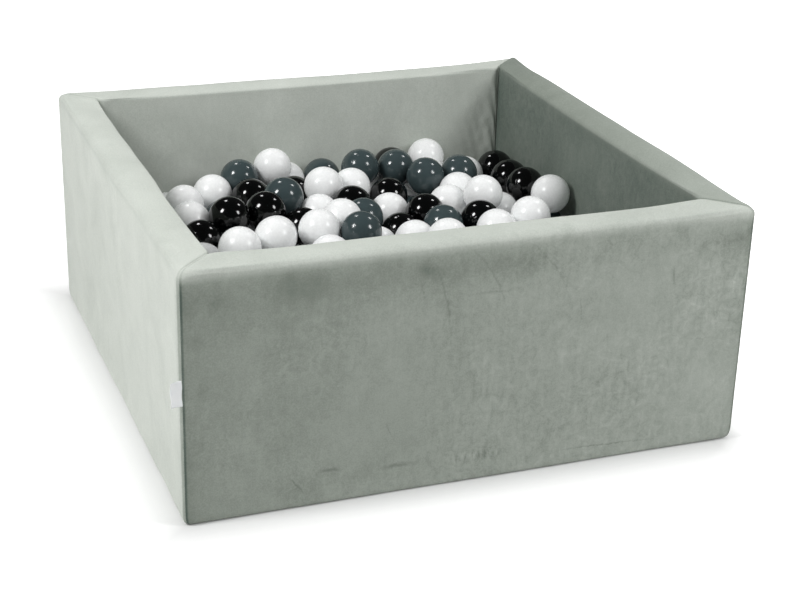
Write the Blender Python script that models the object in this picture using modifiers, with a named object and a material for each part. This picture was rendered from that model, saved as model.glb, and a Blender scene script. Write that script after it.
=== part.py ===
"""Square foam ball pit: four padded walls in mitred velvet covers, a padded base, zips and plastic balls.

Metres, +Z up. The origin is on the floor, in the middle of the pit. The front wall faces -Y.
"""

import math

import bmesh
import bpy
import numpy as np
from mathutils import Vector
from mathutils.bvhtree import BVHTree

# The ring of walls, measured over its corner seams
PIT_WIDTH = 0.900
PIT_DEPTH = 0.900
WALL_HEIGHT = 0.400
WALL_THICKNESS = 0.058
RIM_ROUND = 0.011
HEM_ROUND = 0.008
CORNER_ROUND = 0.014
SIDE_CROWN = 0.004
RIM_CROWN = 0.002

# Cloth and the clearances between pieces
CLOTH = 0.0018
CLOTH_TO_FOAM = 0.0007
SEAM_GAP = 0.0003
RUNNING_GAP = 0.0003

# The padded base inside the ring
BASE_THICKNESS = 0.050
BASE_ROUND = 0.010
BASE_CROWN = 0.003
BASE_ZIP_BACK = 0.240

# Balls
BALL_DIAMETER = 0.070
BALL_GAP = 0.0004

# Zips, on the undersides of the five covers
ZIP_CORNER_MARGIN = 0.085
ZIP_OPENING = 0.014
ZIP_FLAP = 0.005
TAPE_WIDTH = 0.0095
TAPE_THICKNESS = 0.0008
TOOTH_ROW_WIDTH = 0.0024
TOOTH_ROW_HEIGHT = 0.0018
TOOTH_ROW_ROUND = 0.0005
TOOTH_ROW_GAP = 0.0018
STOP_LENGTH = 0.004
SLIDER_LENGTH = 0.013
SLIDER_WIDTH = 0.0105
SLIDER_NOSE_SHARE = 0.62
SLIDER_PLATE = 0.0010
SLIDER_POST_LENGTH = 0.004
SLIDER_ROUND = 0.0003
PULL_LENGTH = 0.024
PULL_WIDTH = 0.007
PULL_THICKNESS = 0.0012
PULL_EYE_LENGTH = 0.0036
PULL_EYE_WALL = 0.0005
PULL_PIN_RADIUS = 0.00045
PULL_LUG_WALL = 0.0008
FLOOR_CLEARANCE = 0.0004
FOAM_CHANNEL_SLOPE = 0.004

# Blank tab sewn into the front left corner seam
TAB_HEIGHT = 0.040
TAB_WIDTH = 0.022
TAB_THICKNESS = 0.0008
TAB_MIDDLE_HEIGHT = 0.215
TAB_TURN = math.radians(25)
TAB_CURL = math.radians(30)

# Counts that set how finely round forms are cut
ARC_STEPS = 3
HEM_STEPS = 2
BALL_FACET_STEPS = 2
ROUND_SIDES = 6
TAB_STEPS = 5
FACE_SHARES = (0.2, 0.5, 0.8)
STATION_SHARE = 0.22
BASE_PLATEAU_SHARE = 0.45

# How the balls fill the pit: layers of square rows, and loose ones on top. Shares are of a
# ball's diameter
SEPARATE_BALLS = {"white": 15, "grey": 7, "black": 6}
LAYERS_BELOW = 3
TOP_LAYER_PITCH_SHARE = 1.03
TOP_LAYER_SPACE_SHARE = 0.90
TOP_LAYER_HEIGHT_SHARE = 2.40
HEAP_HEIGHT_SHARE = 2.75
SCATTER_SHARE = 0.04
RISE_SHARE = 0.011
OVERLAP_LEFT_SHARE = 0.01
HIDDEN_BALL_SHARE = 0.88
BED_TOP_SHARE = 0.30
STALK_DEPTH_SHARE = 0.5
STALK_FROM_SHARE = 0.45
NESTLE_ROUNDS = 60
EASE_ROUNDS = 100
REFIT_ROUNDS = 2
SCATTER_SEED = 4
SHIFT_STEP = 0.0003
SHIFT_STEPS = 70
SUPPORT_REACH = 0.002
SEEN_SHIFT = 0.008
NESTLE_SHIFT = 0.040
FIRM_SEAT_SHARE = 0.90

# Where the top layer is missing: the middle and reach of each hollow in the heap, as shares of
# the room for a ball's middle
HOLLOW_SHARES = ((-0.85, 0.90, 0.42), (1.00, -0.10, 0.15))

# Balls seen from above: colour, place across and back as shares of the room for a ball's middle,
# and height over a ball that lies on the base, in ball diameters
SEEN_BALL_SHARES = (
    ("black", 0.45, 1.00, 2.1), ("white", -0.15, 1.00, 2.0), ("white", 0.65, 1.00, 2.3),
    ("grey", 0.05, 1.00, 2.0), ("white", 0.25, 0.90, 1.9), ("white", -0.25, 0.90, 2.6),
    ("grey", -0.45, 0.85, 2.4), ("black", 1.00, 0.85, 2.0), ("grey", 0.40, 0.80, 2.4),
    ("white", 0.80, 0.80, 2.0), ("grey", 0.20, 0.80, 2.5), ("white", -0.60, 0.75, 2.3),
    ("black", -0.20, 0.65, 2.2), ("grey", 0.70, 0.65, 2.4), ("black", -0.45, 0.65, 2.3),
    ("white", -0.80, 0.60, 2.3), ("grey", 0.50, 0.60, 2.4), ("grey", 0.10, 0.60, 2.3),
    ("black", 0.95, 0.55, 2.3), ("black", 0.25, 0.55, 2.1), ("white", -0.10, 0.55, 2.6),
    ("white", 0.60, 0.45, 2.2), ("black", 0.95, 0.35, 2.4), ("black", 0.00, 0.35, 2.3),
    ("white", 0.20, 0.35, 2.1), ("grey", -0.35, 0.35, 2.8), ("white", -0.20, 0.30, 2.3),
    ("white", 0.50, 0.30, 2.2), ("white", -0.60, 0.30, 2.1), ("white", 0.75, 0.25, 2.0),
    ("white", -0.85, 0.25, 2.5), ("black", 0.35, 0.20, 2.2), ("black", -0.50, 0.20, 2.7),
    ("white", 0.65, 0.20, 2.5), ("grey", 0.00, 0.15, 2.3), ("white", 1.00, 0.15, 2.5),
    ("black", -0.70, 0.15, 2.7), ("black", 0.15, 0.10, 2.0), ("black", -0.85, 0.05, 2.4),
    ("white", -0.15, 0.05, 2.6), ("grey", 0.80, 0.00, 2.0), ("black", 0.55, 0.00, 2.3),
    ("white", -0.50, 0.00, 2.4), ("grey", 0.35, 0.00, 2.3), ("white", -0.30, -0.10, 2.7),
    ("white", 0.15, -0.15, 2.2), ("white", 0.75, -0.15, 2.5), ("white", -0.90, -0.15, 2.2),
    ("grey", -0.15, -0.15, 2.6), ("white", -0.55, -0.15, 3.0), ("white", 0.55, -0.20, 2.4),
    ("white", -0.75, -0.25, 2.7), ("white", 0.25, -0.30, 2.5), ("black", 0.85, -0.35, 2.4),
)

# Sizes that follow from the ones above
INNER_HALF_WIDTH = PIT_WIDTH / 2 - WALL_THICKNESS
INNER_HALF_DEPTH = PIT_DEPTH / 2 - WALL_THICKNESS
BALL_RADIUS = BALL_DIAMETER / 2
BASE_TOP = BASE_THICKNESS + BASE_CROWN
FIRST_LAYER = BASE_TOP + BALL_GAP + BALL_RADIUS
PULL_EYE_BORE = PULL_PIN_RADIUS + RUNNING_GAP
PULL_EYE_RADIUS = PULL_EYE_BORE + PULL_EYE_WALL
PULL_AXIS_HEIGHT = FLOOR_CLEARANCE + PULL_EYE_RADIUS
LOWER_PLATE_HEIGHT = PULL_AXIS_HEIGHT + PULL_EYE_RADIUS + RUNNING_GAP
TOOTH_HEIGHT = LOWER_PLATE_HEIGHT + SLIDER_PLATE + RUNNING_GAP
UPPER_PLATE_HEIGHT = TOOTH_HEIGHT + TOOTH_ROW_HEIGHT + RUNNING_GAP
ZIP_TOP = UPPER_PLATE_HEIGHT + SLIDER_PLATE
TAPE_HEIGHT = TOOTH_HEIGHT + TOOTH_ROW_HEIGHT - TAPE_THICKNESS
SLIT_EDGE_HEIGHT = TAPE_HEIGHT - SEAM_GAP - CLOTH
TAPE_HALF_SPAN = TOOTH_ROW_GAP / 2 + TAPE_WIDTH
FOAM_INSET = CLOTH + CLOTH_TO_FOAM

COLOURS = {
    "velvet": ((0.33, 0.36, 0.32), 0.85, 0.0),
    "foam": ((0.86, 0.83, 0.70), 0.95, 0.0),
    "zip_tape": ((0.30, 0.33, 0.30), 0.80, 0.0),
    "zip_metal": ((0.62, 0.63, 0.64), 0.35, 1.0),
    "label": ((0.92, 0.92, 0.91), 0.45, 0.0),
    "white": ((0.88, 0.89, 0.88), 0.18, 0.0),
    "grey": ((0.075, 0.100, 0.105), 0.18, 0.0),
    "black": ((0.008, 0.008, 0.008), 0.15, 0.0),
}


def clear_scene():
    for thing in list(bpy.data.objects):
        bpy.data.objects.remove(thing, do_unlink=True)


def collection_named(name, hidden=False):
    made = bpy.data.collections.new(name)
    bpy.context.scene.collection.children.link(made)
    made.hide_render = hidden
    return made


clear_scene()
PARTS = collection_named("ball_pit")
CUTTERS = collection_named("cutters", hidden=True)


def finish(name, kind):
    """Each object has a material of its own, in the colour of its kind."""
    colour, roughness, metallic = COLOURS[kind]
    material = bpy.data.materials.new(name + "_" + kind)
    material.use_nodes = True
    shader = material.node_tree.nodes["Principled BSDF"]
    shader.inputs["Base Color"].default_value = (*colour, 1.0)
    shader.inputs["Roughness"].default_value = roughness
    shader.inputs["Metallic"].default_value = metallic
    return material


def add_mesh(name, mesh, kind, at=(0, 0, 0), turn=0.0, parent=None):
    """Puts a mesh into the model as one named piece."""
    piece = bpy.data.objects.new(name, mesh)
    PARTS.objects.link(piece)
    piece.location = at
    piece.rotation_euler = (0, 0, turn)
    piece.parent = parent
    mesh.materials.append(finish(name, kind))
    return piece


def add_empty(name, at, turn=0.0, parent=None):
    empty = bpy.data.objects.new(name, None)
    PARTS.objects.link(empty)
    empty.location = at
    empty.rotation_euler = (0, 0, turn)
    empty.parent = parent
    return empty


def helper(name, mesh):
    """A cutter: never part of the model itself."""
    thing = bpy.data.objects.new(name, mesh)
    CUTTERS.objects.link(thing)
    thing.hide_render = True
    thing.display_type = "WIRE"
    return thing


def mesh_of(name, form):
    mesh = bpy.data.meshes.new(name)
    bmesh.ops.recalc_face_normals(form, faces=form.faces)
    form.to_mesh(mesh)
    form.free()
    return mesh


def boolean(piece, other, operation):
    cut = piece.modifiers.new(operation.lower(), "BOOLEAN")
    cut.operation = operation
    cut.object = other
    cut.solver = "EXACT"


def block(low, high, rounding=0.0):
    """A box between two corners, its edges rounded if asked."""
    form = bmesh.new()
    bmesh.ops.create_cube(form, size=1.0)
    size = [b - a for a, b in zip(low, high)]
    middle = [(a + b) / 2 for a, b in zip(low, high)]
    bmesh.ops.scale(form, vec=size, verts=form.verts)
    bmesh.ops.translate(form, vec=middle, verts=form.verts)
    if rounding:
        bmesh.ops.bevel(
            form, geom=form.edges[:], offset=rounding, segments=2, profile=0.5, affect="EDGES"
        )
    return form


def round_bar(radius, length, sides=ROUND_SIDES):
    """A cylinder along Y about the origin."""
    form = bmesh.new()
    bmesh.ops.create_cone(
        form, cap_ends=True, segments=sides, radius1=radius, radius2=radius, depth=length
    )
    lie_down = [(1, 0, 0), (0, 0, 1), (0, -1, 0)]
    for vert in form.verts:
        vert.co = [sum(a * b for a, b in zip(row, vert.co)) for row in lie_down]
    return form


# Padded walls

def arc(middle_depth, middle_height, radius, start, end, steps):
    """Points of a quarter round in the wall's cross-section, as (depth, height)."""
    turns = [start + (end - start) * k / steps for k in range(steps + 1)]
    return [
        (middle_depth + radius * math.cos(a), middle_height + radius * math.sin(a)) for a in turns
    ]


def wall_section(inset, half_opening, opening_height, flap):
    """The wall's outline from one edge of the zip opening, out, up, over the rim and back again.

    Depth runs from the outer face inwards. The two ends of the list are the zip opening's edges.
    """
    quarter = math.pi / 2
    rim = RIM_ROUND - inset
    hem = HEM_ROUND - inset
    low, high = inset, WALL_HEIGHT - inset
    outer, inner = inset, WALL_THICKNESS - inset
    middle = WALL_THICKNESS / 2
    climb = [low + hem + (high - rim - low - hem) * share for share in FACE_SHARES]
    points = [(middle - half_opening, opening_height), (middle - half_opening - flap, low)]
    points += arc(outer + hem, low + hem, hem, -quarter, -2 * quarter, HEM_STEPS)
    points += [(outer, height) for height in climb]
    points += arc(outer + rim, high - rim, rim, 2 * quarter, quarter, ARC_STEPS)
    points += [(middle, high)]
    points += arc(inner - rim, high - rim, rim, quarter, 0, ARC_STEPS)
    points += [(inner, height) for height in reversed(climb)]
    points += arc(inner - hem, low + hem, hem, 0, -quarter, HEM_STEPS)
    points += [(middle + half_opening + flap, low), (middle + half_opening, opening_height)]
    return points


def side_bulge(height, along_share):
    """How far a padded face stands proud at this height and share of the wall's length."""
    up = max(math.sin(math.pi * height / WALL_HEIGHT), 0.0)
    return SIDE_CROWN * up * (1 - (2 * along_share - 1) ** 4)


def rim_bulge(depth, along_share):
    across = max(math.sin(math.pi * depth / WALL_THICKNESS), 0.0)
    return RIM_CROWN * across * (1 - (2 * along_share - 1) ** 4)


def wall_point(depth, height, length, share, end_gap):
    """A point of a wall along X whose outer face is the plane y = 0 and whose inside is at +Y."""
    corner = max(CORNER_ROUND - depth, 0.0)
    end = length / 2 - depth - corner * (1 - math.sqrt(0.5)) - end_gap
    across = end * (2 * share - 1)
    reach = corner - (length / 2 - abs(across) - depth)
    drawn_in = corner - math.sqrt(corner**2 - min(reach, corner) ** 2) if reach > 0 else 0.0
    side = -1 if depth < WALL_THICKNESS / 2 else 1
    bulge = side * side_bulge(height, share)
    lift = rim_bulge(depth, share) if height > WALL_HEIGHT / 2 else 0.0
    return (across, depth + drawn_in + bulge, height + lift)


def wall_rings(section, length, shares, end_gap):
    return [[wall_point(d, h, length, share, end_gap) for d, h in section] for share in shares]


def corner_shares(length):
    """Two more stations near each end, where the outer corner is rounded."""
    return (0.45 * CORNER_ROUND / length, CORNER_ROUND / length)


def zip_half_length(length):
    return length / 2 - ZIP_CORNER_MARGIN


def quads_between(rings):
    """Faces of the closed tube through these rings, as ring and point numbers."""
    size = len(rings[0])
    for ring in range(len(rings) - 1):
        for k in range(size):
            after = (k + 1) % size
            yield (ring, k), (ring, after), (ring + 1, after), (ring + 1, k)


def cover_mesh(name, length):
    """A velvet sleeve with mitred open ends and a zip opening along its underside."""
    zip_share = (1 - zip_half_length(length) / (length / 2 - WALL_THICKNESS / 2)) / 2
    near = corner_shares(length)
    half_way = [0.0, *near, zip_share, STATION_SHARE]
    shares = [*half_way, 0.5, *(1 - share for share in reversed(half_way))]
    half = ZIP_OPENING / 2
    end_gap = SEAM_GAP * math.sqrt(0.5)
    outside = wall_section(0.0, half, SLIT_EDGE_HEIGHT, ZIP_FLAP)
    inside = wall_section(CLOTH, half, SLIT_EDGE_HEIGHT + CLOTH, ZIP_FLAP)
    skins = [wall_rings(s, length, shares, end_gap) for s in (outside, inside)]
    last = len(outside) - 1
    form = bmesh.new()
    verts = [[[form.verts.new(p) for p in ring] for ring in rings] for rings in skins]
    open_edges = {}
    for corners in quads_between(skins[0]):
        in_opening = corners[0][1] == last and zip_share <= shares[corners[0][0]] < 1 - zip_share
        if in_opening:
            continue
        form.faces.new([verts[0][r][k] for r, k in corners])
        form.faces.new([verts[1][r][k] for r, k in reversed(corners)])
        for a, b in zip(corners, corners[1:] + corners[:1]):
            if (b, a) in open_edges:
                del open_edges[(b, a)]
            else:
                open_edges[(a, b)] = True
    for (ra, ka), (rb, kb) in open_edges:
        form.faces.new([verts[0][rb][kb], verts[0][ra][ka], verts[1][ra][ka], verts[1][rb][kb]])
    return mesh_of(name, form)


def wall_foam_mesh(name, length):
    """A foam board with mitred ends, a little smaller than its cover, dented over the zip."""
    shares = [0.0, STATION_SHARE, 0.5, 1 - STATION_SHARE, 1.0]
    channel = TAPE_HALF_SPAN + SEAM_GAP
    section = wall_section(FOAM_INSET, channel, ZIP_TOP + SEAM_GAP, FOAM_CHANNEL_SLOPE)
    end_gap = SEAM_GAP * math.sqrt(0.5)
    rings = wall_rings(section, length, shares, end_gap)
    form = bmesh.new()
    verts = [[form.verts.new(p) for p in ring] for ring in rings]
    for corners in quads_between(rings):
        form.faces.new([verts[r][k] for r, k in corners])
    form.faces.new(reversed(verts[0]))
    form.faces.new(verts[-1])
    return mesh_of(name, form)


WALLS = (
    ("front", PIT_WIDTH, PIT_DEPTH, 0.0),
    ("right", PIT_DEPTH, PIT_WIDTH, math.pi / 2),
    ("back", PIT_WIDTH, PIT_DEPTH, math.pi),
    ("left", PIT_DEPTH, PIT_WIDTH, -math.pi / 2),
)


def place_of_wall(across, turn):
    """The middle of a wall's outer face line, on the floor."""
    return (math.sin(turn) * across / 2, -math.cos(turn) * across / 2, 0.0)


def make_walls():
    for side, length, across, turn in WALLS:
        at = place_of_wall(across, turn)
        name = "wall_cover_" + side
        cover = add_mesh(name, cover_mesh(name, length), "velvet", at, turn)
        cover.data.shade_smooth()
        name = "wall_foam_" + side
        add_mesh(name, wall_foam_mesh(name, length), "foam", at, turn)


# Zips

def plate_form(low, high):
    """A slider plate: a block whose leading end is narrower."""
    form = block(low, high)
    for vert in form.verts:
        if vert.co.x > (low[0] + high[0]) / 2:
            vert.co.y *= SLIDER_NOSE_SHARE
    bmesh.ops.bevel(
        form, geom=form.edges[:], offset=SLIDER_ROUND, segments=1, profile=0.5, affect="EDGES"
    )
    return form


def join(forms, name):
    """Closed forms made one solid by Boolean unions."""
    first = helper(name + "_base", mesh_of(name, forms[0]))
    for k, form in enumerate(forms[1:]):
        boolean(first, helper(f"{name}_{k}", mesh_of(name, form)), "UNION")
    graph = bpy.context.evaluated_depsgraph_get()
    graph.update()
    return bpy.data.meshes.new_from_object(first.evaluated_get(graph))


def chain_mesh(name, length):
    """Two tapes with their rows of teeth, held together by the end stop behind."""
    row_high = TOOTH_HEIGHT + TOOTH_ROW_HEIGHT
    forms = []
    for side in (-1, 1):
        near, far = side * TOOTH_ROW_GAP / 2, side * TAPE_HALF_SPAN
        tooth = near + side * TOOTH_ROW_WIDTH
        forms.append(
            block(
                (-length / 2, min(near + side * TOOTH_ROW_ROUND, far), TAPE_HEIGHT),
                (length / 2, max(near + side * TOOTH_ROW_ROUND, far), row_high),
            )
        )
        forms.append(
            block(
                (-length / 2 + STOP_LENGTH / 2, min(near, tooth), TOOTH_HEIGHT),
                (length / 2 - STOP_LENGTH / 2, max(near, tooth), row_high - TOOTH_ROW_ROUND / 2),
            )
        )
    reach = TOOTH_ROW_GAP / 2 + TOOTH_ROW_WIDTH + TOOTH_ROW_ROUND
    forms.append(
        block(
            (-length / 2 + TOOTH_ROW_ROUND, -reach, TOOTH_HEIGHT - TOOTH_ROW_ROUND / 2),
            (-length / 2 + STOP_LENGTH, reach, row_high + TOOTH_ROW_ROUND / 2),
        )
    )
    return join(forms, name)


def slider_mesh(name):
    """Two plates joined by a post that runs between the rows, with lugs and a pin for the pull."""
    half, wide = SLIDER_LENGTH / 2, SLIDER_WIDTH / 2
    top = LOWER_PLATE_HEIGHT + SLIDER_PLATE
    post = TOOTH_ROW_GAP / 2 - RUNNING_GAP
    lug_near = PULL_EYE_LENGTH / 2 + RUNNING_GAP
    lug_far = lug_near + PULL_LUG_WALL
    lug_half = PULL_PIN_RADIUS + PULL_EYE_WALL
    inside = SLIDER_PLATE / 2
    forms = [
        plate_form((-half, -wide, LOWER_PLATE_HEIGHT), (half, wide, top)),
        plate_form((-half, -wide, UPPER_PLATE_HEIGHT), (half, wide, ZIP_TOP)),
        block(
            (half - SLIDER_POST_LENGTH - SLIDER_ROUND, -post, top - inside),
            (half - 2 * SLIDER_ROUND, post, UPPER_PLATE_HEIGHT + inside),
        ),
    ]
    for side in (-1, 1):
        forms.append(
            block(
                (-lug_half, min(side * lug_near, side * lug_far), PULL_AXIS_HEIGHT - lug_half),
                (lug_half, max(side * lug_near, side * lug_far), LOWER_PLATE_HEIGHT + inside),
            )
        )
    pin = round_bar(PULL_PIN_RADIUS, 2 * lug_near + PULL_LUG_WALL)
    bmesh.ops.translate(pin, vec=(0, 0, PULL_AXIS_HEIGHT), verts=pin.verts)
    forms.append(pin)
    return join(forms, name)


def pull_mesh(name):
    """A flat tab with a rolled eye round the slider's pin, modelled about the pin's axis."""
    eye = round_bar(PULL_EYE_RADIUS, PULL_EYE_LENGTH)
    half = PULL_THICKNESS / 2
    neck = block(
        (-PULL_LENGTH / 3, -PULL_EYE_LENGTH / 2 + SLIDER_ROUND, -half),
        (-PULL_EYE_BORE, PULL_EYE_LENGTH / 2 - SLIDER_ROUND, half),
    )
    tab = block(
        (-PULL_LENGTH, -PULL_WIDTH / 2, -half), (-PULL_LENGTH / 4, PULL_WIDTH / 2, half), SLIDER_ROUND
    )
    solid = helper(name + "_solid", join([eye, neck, tab], name))
    bore = round_bar(PULL_EYE_BORE, 2 * PULL_EYE_LENGTH)
    boolean(solid, helper(name + "_bore", mesh_of(name, bore)), "DIFFERENCE")
    graph = bpy.context.evaluated_depsgraph_get()
    graph.update()
    return bpy.data.meshes.new_from_object(solid.evaluated_get(graph))


def make_zip(side, at, turn, length):
    """A closed zip: its slider waits at the front stop, its pull lies back along the chain."""
    place = add_empty("zip_place_" + side, at, turn)
    chain = "zip_chain_" + side
    add_mesh(chain, chain_mesh(chain, length), "zip_tape", parent=place)
    rest = (length / 2 - SLIDER_LENGTH, 0.0, 0.0)
    slider = "zip_slider_" + side
    moving = add_mesh(slider, slider_mesh(slider), "zip_metal", rest, parent=place)
    pull = "zip_pull_" + side
    axis = (0.0, 0.0, PULL_AXIS_HEIGHT)
    add_mesh(pull, pull_mesh(pull), "zip_metal", axis, parent=moving)


def make_zips():
    middle = WALL_THICKNESS / 2
    for side, length, across, turn in WALLS:
        x, y, z = place_of_wall(across, turn)
        at = (x - math.sin(turn) * middle, y + math.cos(turn) * middle, z)
        make_zip(side, at, turn, 2 * (zip_half_length(length) - ZIP_OPENING / 2 - SEAM_GAP))
    make_zip("base", (0, BASE_ZIP_BACK, 0), 0.0, base_zip_length())


# Padded base

def base_half(inner_half):
    """Half the base's side, so that it just clears the walls' padded faces."""
    return inner_half - side_bulge(BASE_THICKNESS, 0.5) - SEAM_GAP


def base_zip_length():
    return 2 * base_half(INNER_HALF_WIDTH) - 2 * ZIP_CORNER_MARGIN


def base_cage(inset, crown):
    """The base pad's outer form: a rounded slab whose top rises to a flat middle."""
    half_x = base_half(INNER_HALF_WIDTH) - inset
    half_y = base_half(INNER_HALF_DEPTH) - inset
    form = block((-half_x, -half_y, inset), (half_x, half_y, BASE_THICKNESS - inset))
    bmesh.ops.bevel(
        form, geom=form.edges[:], offset=BASE_ROUND - inset, segments=2, profile=0.5, affect="EDGES"
    )
    for axis, half in ((0, half_x), (1, half_y)):
        for side in (-1, 1):
            slice_at(form, axis, side * BASE_PLATEAU_SHARE * half)
    for vert in form.verts:
        if vert.co.z > BASE_THICKNESS / 2:
            vert.co.z += crown * fading(vert.co.x / half_x) * fading(vert.co.y / half_y)
    return form


def fading(share):
    """1 over the middle of the pad, falling to 0 at its edge."""
    return min(max(1 - share**2, 0.0) / (1 - BASE_PLATEAU_SHARE**2), 1.0)


def slice_at(form, axis, place, below=WALL_HEIGHT):
    """Cuts the faces that lie below a height along a line across the pad."""
    point, normal = [0.0, 0.0, 0.0], [0.0, 0.0, 0.0]
    point[axis], normal[axis] = place, 1.0
    faces = [face for face in form.faces if face.calc_center_median().z < below]
    edges = list({edge for face in faces for edge in face.edges})
    geometry = list({vert for face in faces for vert in face.verts}) + edges + faces
    bmesh.ops.bisect_plane(form, geom=geometry, plane_co=point, plane_no=normal)


def make_base():
    half_long, half_wide = base_zip_length() / 2 + SEAM_GAP, ZIP_OPENING / 2
    cage = base_cage(0.0, BASE_CROWN)
    for side in (-1, 1):
        slice_at(cage, 0, side * half_long, BASE_THICKNESS / 2)
        slice_at(cage, 0, side * (half_long + ZIP_FLAP), BASE_THICKNESS / 2)
        slice_at(cage, 1, BASE_ZIP_BACK + side * half_wide, BASE_THICKNESS / 2)
        slice_at(cage, 1, BASE_ZIP_BACK + side * (half_wide + ZIP_FLAP), BASE_THICKNESS / 2)
    snug = SEAM_GAP / 2
    opening = [
        face
        for face in cage.faces
        if face.calc_center_median().z < snug
        and abs(face.calc_center_median().x) < half_long
        and abs(face.calc_center_median().y - BASE_ZIP_BACK) < half_wide
    ]
    edge = {vert for face in opening for vert in face.verts}
    bmesh.ops.delete(cage, geom=opening, context="FACES")
    for vert in edge:
        if vert.is_valid:
            vert.co.z = SLIT_EDGE_HEIGHT
    cover = add_mesh("base_cover", mesh_of("base_cover", cage), "velvet")
    skin = cover.modifiers.new("cloth", "SOLIDIFY")
    skin.thickness = CLOTH
    skin.offset = -1.0
    cover.data.shade_smooth()

    foam = add_mesh("base_foam", mesh_of("base_foam", base_cage(FOAM_INSET, BASE_CROWN)), "foam")
    reach = TAPE_HALF_SPAN + FOAM_CHANNEL_SLOPE
    channel = block(
        (-half_long - reach, BASE_ZIP_BACK - reach, -FOAM_INSET),
        (half_long + reach, BASE_ZIP_BACK + reach, ZIP_TOP + SEAM_GAP),
    )
    boolean(foam, helper("base_channel", mesh_of("base_channel", channel)), "DIFFERENCE")


# Balls

def ball_form(middle=(0, 0, 0), stalk=0.0):
    """A ball, or one whose lowest point is drawn down into a stalk."""
    form = bmesh.new()
    bmesh.ops.create_icosphere(form, subdivisions=BALL_FACET_STEPS, radius=BALL_RADIUS)
    for vert in form.verts:
        if vert.co.z < -STALK_FROM_SHARE * BALL_DIAMETER:
            vert.co.z -= stalk
    bmesh.ops.translate(form, vec=middle, verts=form.verts)
    return form


def room_for_balls():
    """Lowest and highest places of a ball's middle."""
    spare = SIDE_CROWN + BALL_GAP + BALL_RADIUS
    half_x, half_y = INNER_HALF_WIDTH - spare, INNER_HALF_DEPTH - spare
    low = np.array([-half_x, -half_y, FIRST_LAYER])
    high = np.array([half_x, half_y, FIRST_LAYER + HEAP_HEIGHT_SHARE * BALL_DIAMETER])
    return low, high


def push_apart(moving, firm, rounds, rise=0.0, shift=PIT_WIDTH):
    """Moves balls that lie too close away from each other and from the firm ones.

    Each round lifts them by the rise, and none moves along an axis by more than the shift.
    """
    low, high = room_for_balls()
    low, high = np.maximum(low, moving - shift), np.minimum(high, moving + shift)
    least = BALL_DIAMETER + BALL_GAP
    count = len(moving)
    for _ in range(rounds):
        moving = moving + (0, 0, rise)
        around = np.vstack([moving, firm])
        apart = moving[:, None] - around[None]
        distance = np.sqrt((apart**2).sum(axis=2))
        distance[np.arange(count), np.arange(count)] = WALL_HEIGHT
        short = np.maximum(least - distance, 0.0)
        short[:, :count] /= 2
        step = (apart * (short / distance)[:, :, None]).sum(axis=1)
        moving = np.clip(moving + step, low, high)
    return moving


def square_rows(height, least_pitch, shifted):
    """Places of balls in square rows at one height, half a pitch in from the walls if shifted."""
    low, high = room_for_balls()
    lines = []
    for axis in (0, 1):
        spans = int((high[axis] - low[axis]) / least_pitch)
        pitch = (high[axis] - low[axis]) / spans
        lines.append(low[axis] + pitch * (np.arange(spans + 1 - shifted) + shifted / 2))
    across, back = np.meshgrid(*lines)
    return np.column_stack([across.ravel(), back.ravel(), np.full(across.size, height)])


def layer_rise():
    """How much higher a layer lies whose balls sit in the hollows between four others."""
    low, high = room_for_balls()
    least = BALL_DIAMETER + BALL_GAP
    pitches = [(high[axis] - low[axis]) / int((high[axis] - low[axis]) / least) for axis in (0, 1)]
    return math.sqrt(least**2 - (pitches[0] ** 2 + pitches[1] ** 2) / 4)


def layers_below():
    least = BALL_DIAMETER + BALL_GAP
    return [
        square_rows(FIRST_LAYER + k * layer_rise(), least, k % 2) for k in range(LAYERS_BELOW)
    ]


def seen_places():
    """Middles of the balls that show, eased apart where the shares leave them too close."""
    low, high = room_for_balls()
    places = [
        (across * high[0], back * high[1], low[2] + height * BALL_DIAMETER)
        for _, across, back, height in SEEN_BALL_SHARES
    ]
    return push_apart(np.array(places), np.empty((0, 3)), EASE_ROUNDS, shift=SEEN_SHIFT)


def distances(places, others):
    return np.sqrt(((places[:, None] - others[None]) ** 2).sum(axis=2))


def fitted(moving, firm):
    """Drops the balls for which the heap has no room, the tightest first."""
    while len(moving):
        distance = distances(moving, np.vstack([moving, firm]))
        distance[np.arange(len(moving)), np.arange(len(moving))] = WALL_HEIGHT
        least = BALL_DIAMETER * (1 - OVERLAP_LEFT_SHARE)
        tight = np.maximum(least - distance, 0.0).sum(axis=1)
        if tight.max() <= 0:
            return moving
        moving = np.delete(moving, tight.argmax(), axis=0)
        moving = push_apart(moving, firm, REFIT_ROUNDS)
    return moving


def heap():
    """Middles and colours of the balls: those seen, the rest of the top layer, the one below."""
    seen = seen_places()
    top = square_rows(
        FIRST_LAYER + TOP_LAYER_HEIGHT_SHARE * BALL_DIAMETER,
        BALL_DIAMETER * TOP_LAYER_PITCH_SHARE,
        0,
    )
    beside = distances(top[:, :2], seen[:, :2]).min(axis=1)
    rest = top[(beside > TOP_LAYER_SPACE_SHARE * BALL_DIAMETER) & ~in_hollow(top)]
    chance = np.random.default_rng(SCATTER_SEED)
    rest += chance.normal(0, SCATTER_SHARE * BALL_DIAMETER, rest.shape)
    rest = fitted(push_apart(rest, seen, EASE_ROUNDS), seen)
    upper = np.vstack([seen, rest])
    below = nestled(layers_below()[-1], upper)
    places = np.vstack([upper, below])
    colours = [row[0] for row in SEEN_BALL_SHARES]
    cycle = ("white", "grey", "white", "black")
    colours += [cycle[k % len(cycle)] for k in range(len(places) - len(colours))]
    return places, colours


def in_hollow(places):
    """Which balls lie where the heap has a hollow."""
    shares = places[:, :2] / room_for_balls()[1][:2]
    off = [np.hypot(*(shares - (across, back)).T) - reach for across, back, reach in HOLLOW_SHARES]
    return np.min(off, axis=0) < 0


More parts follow.
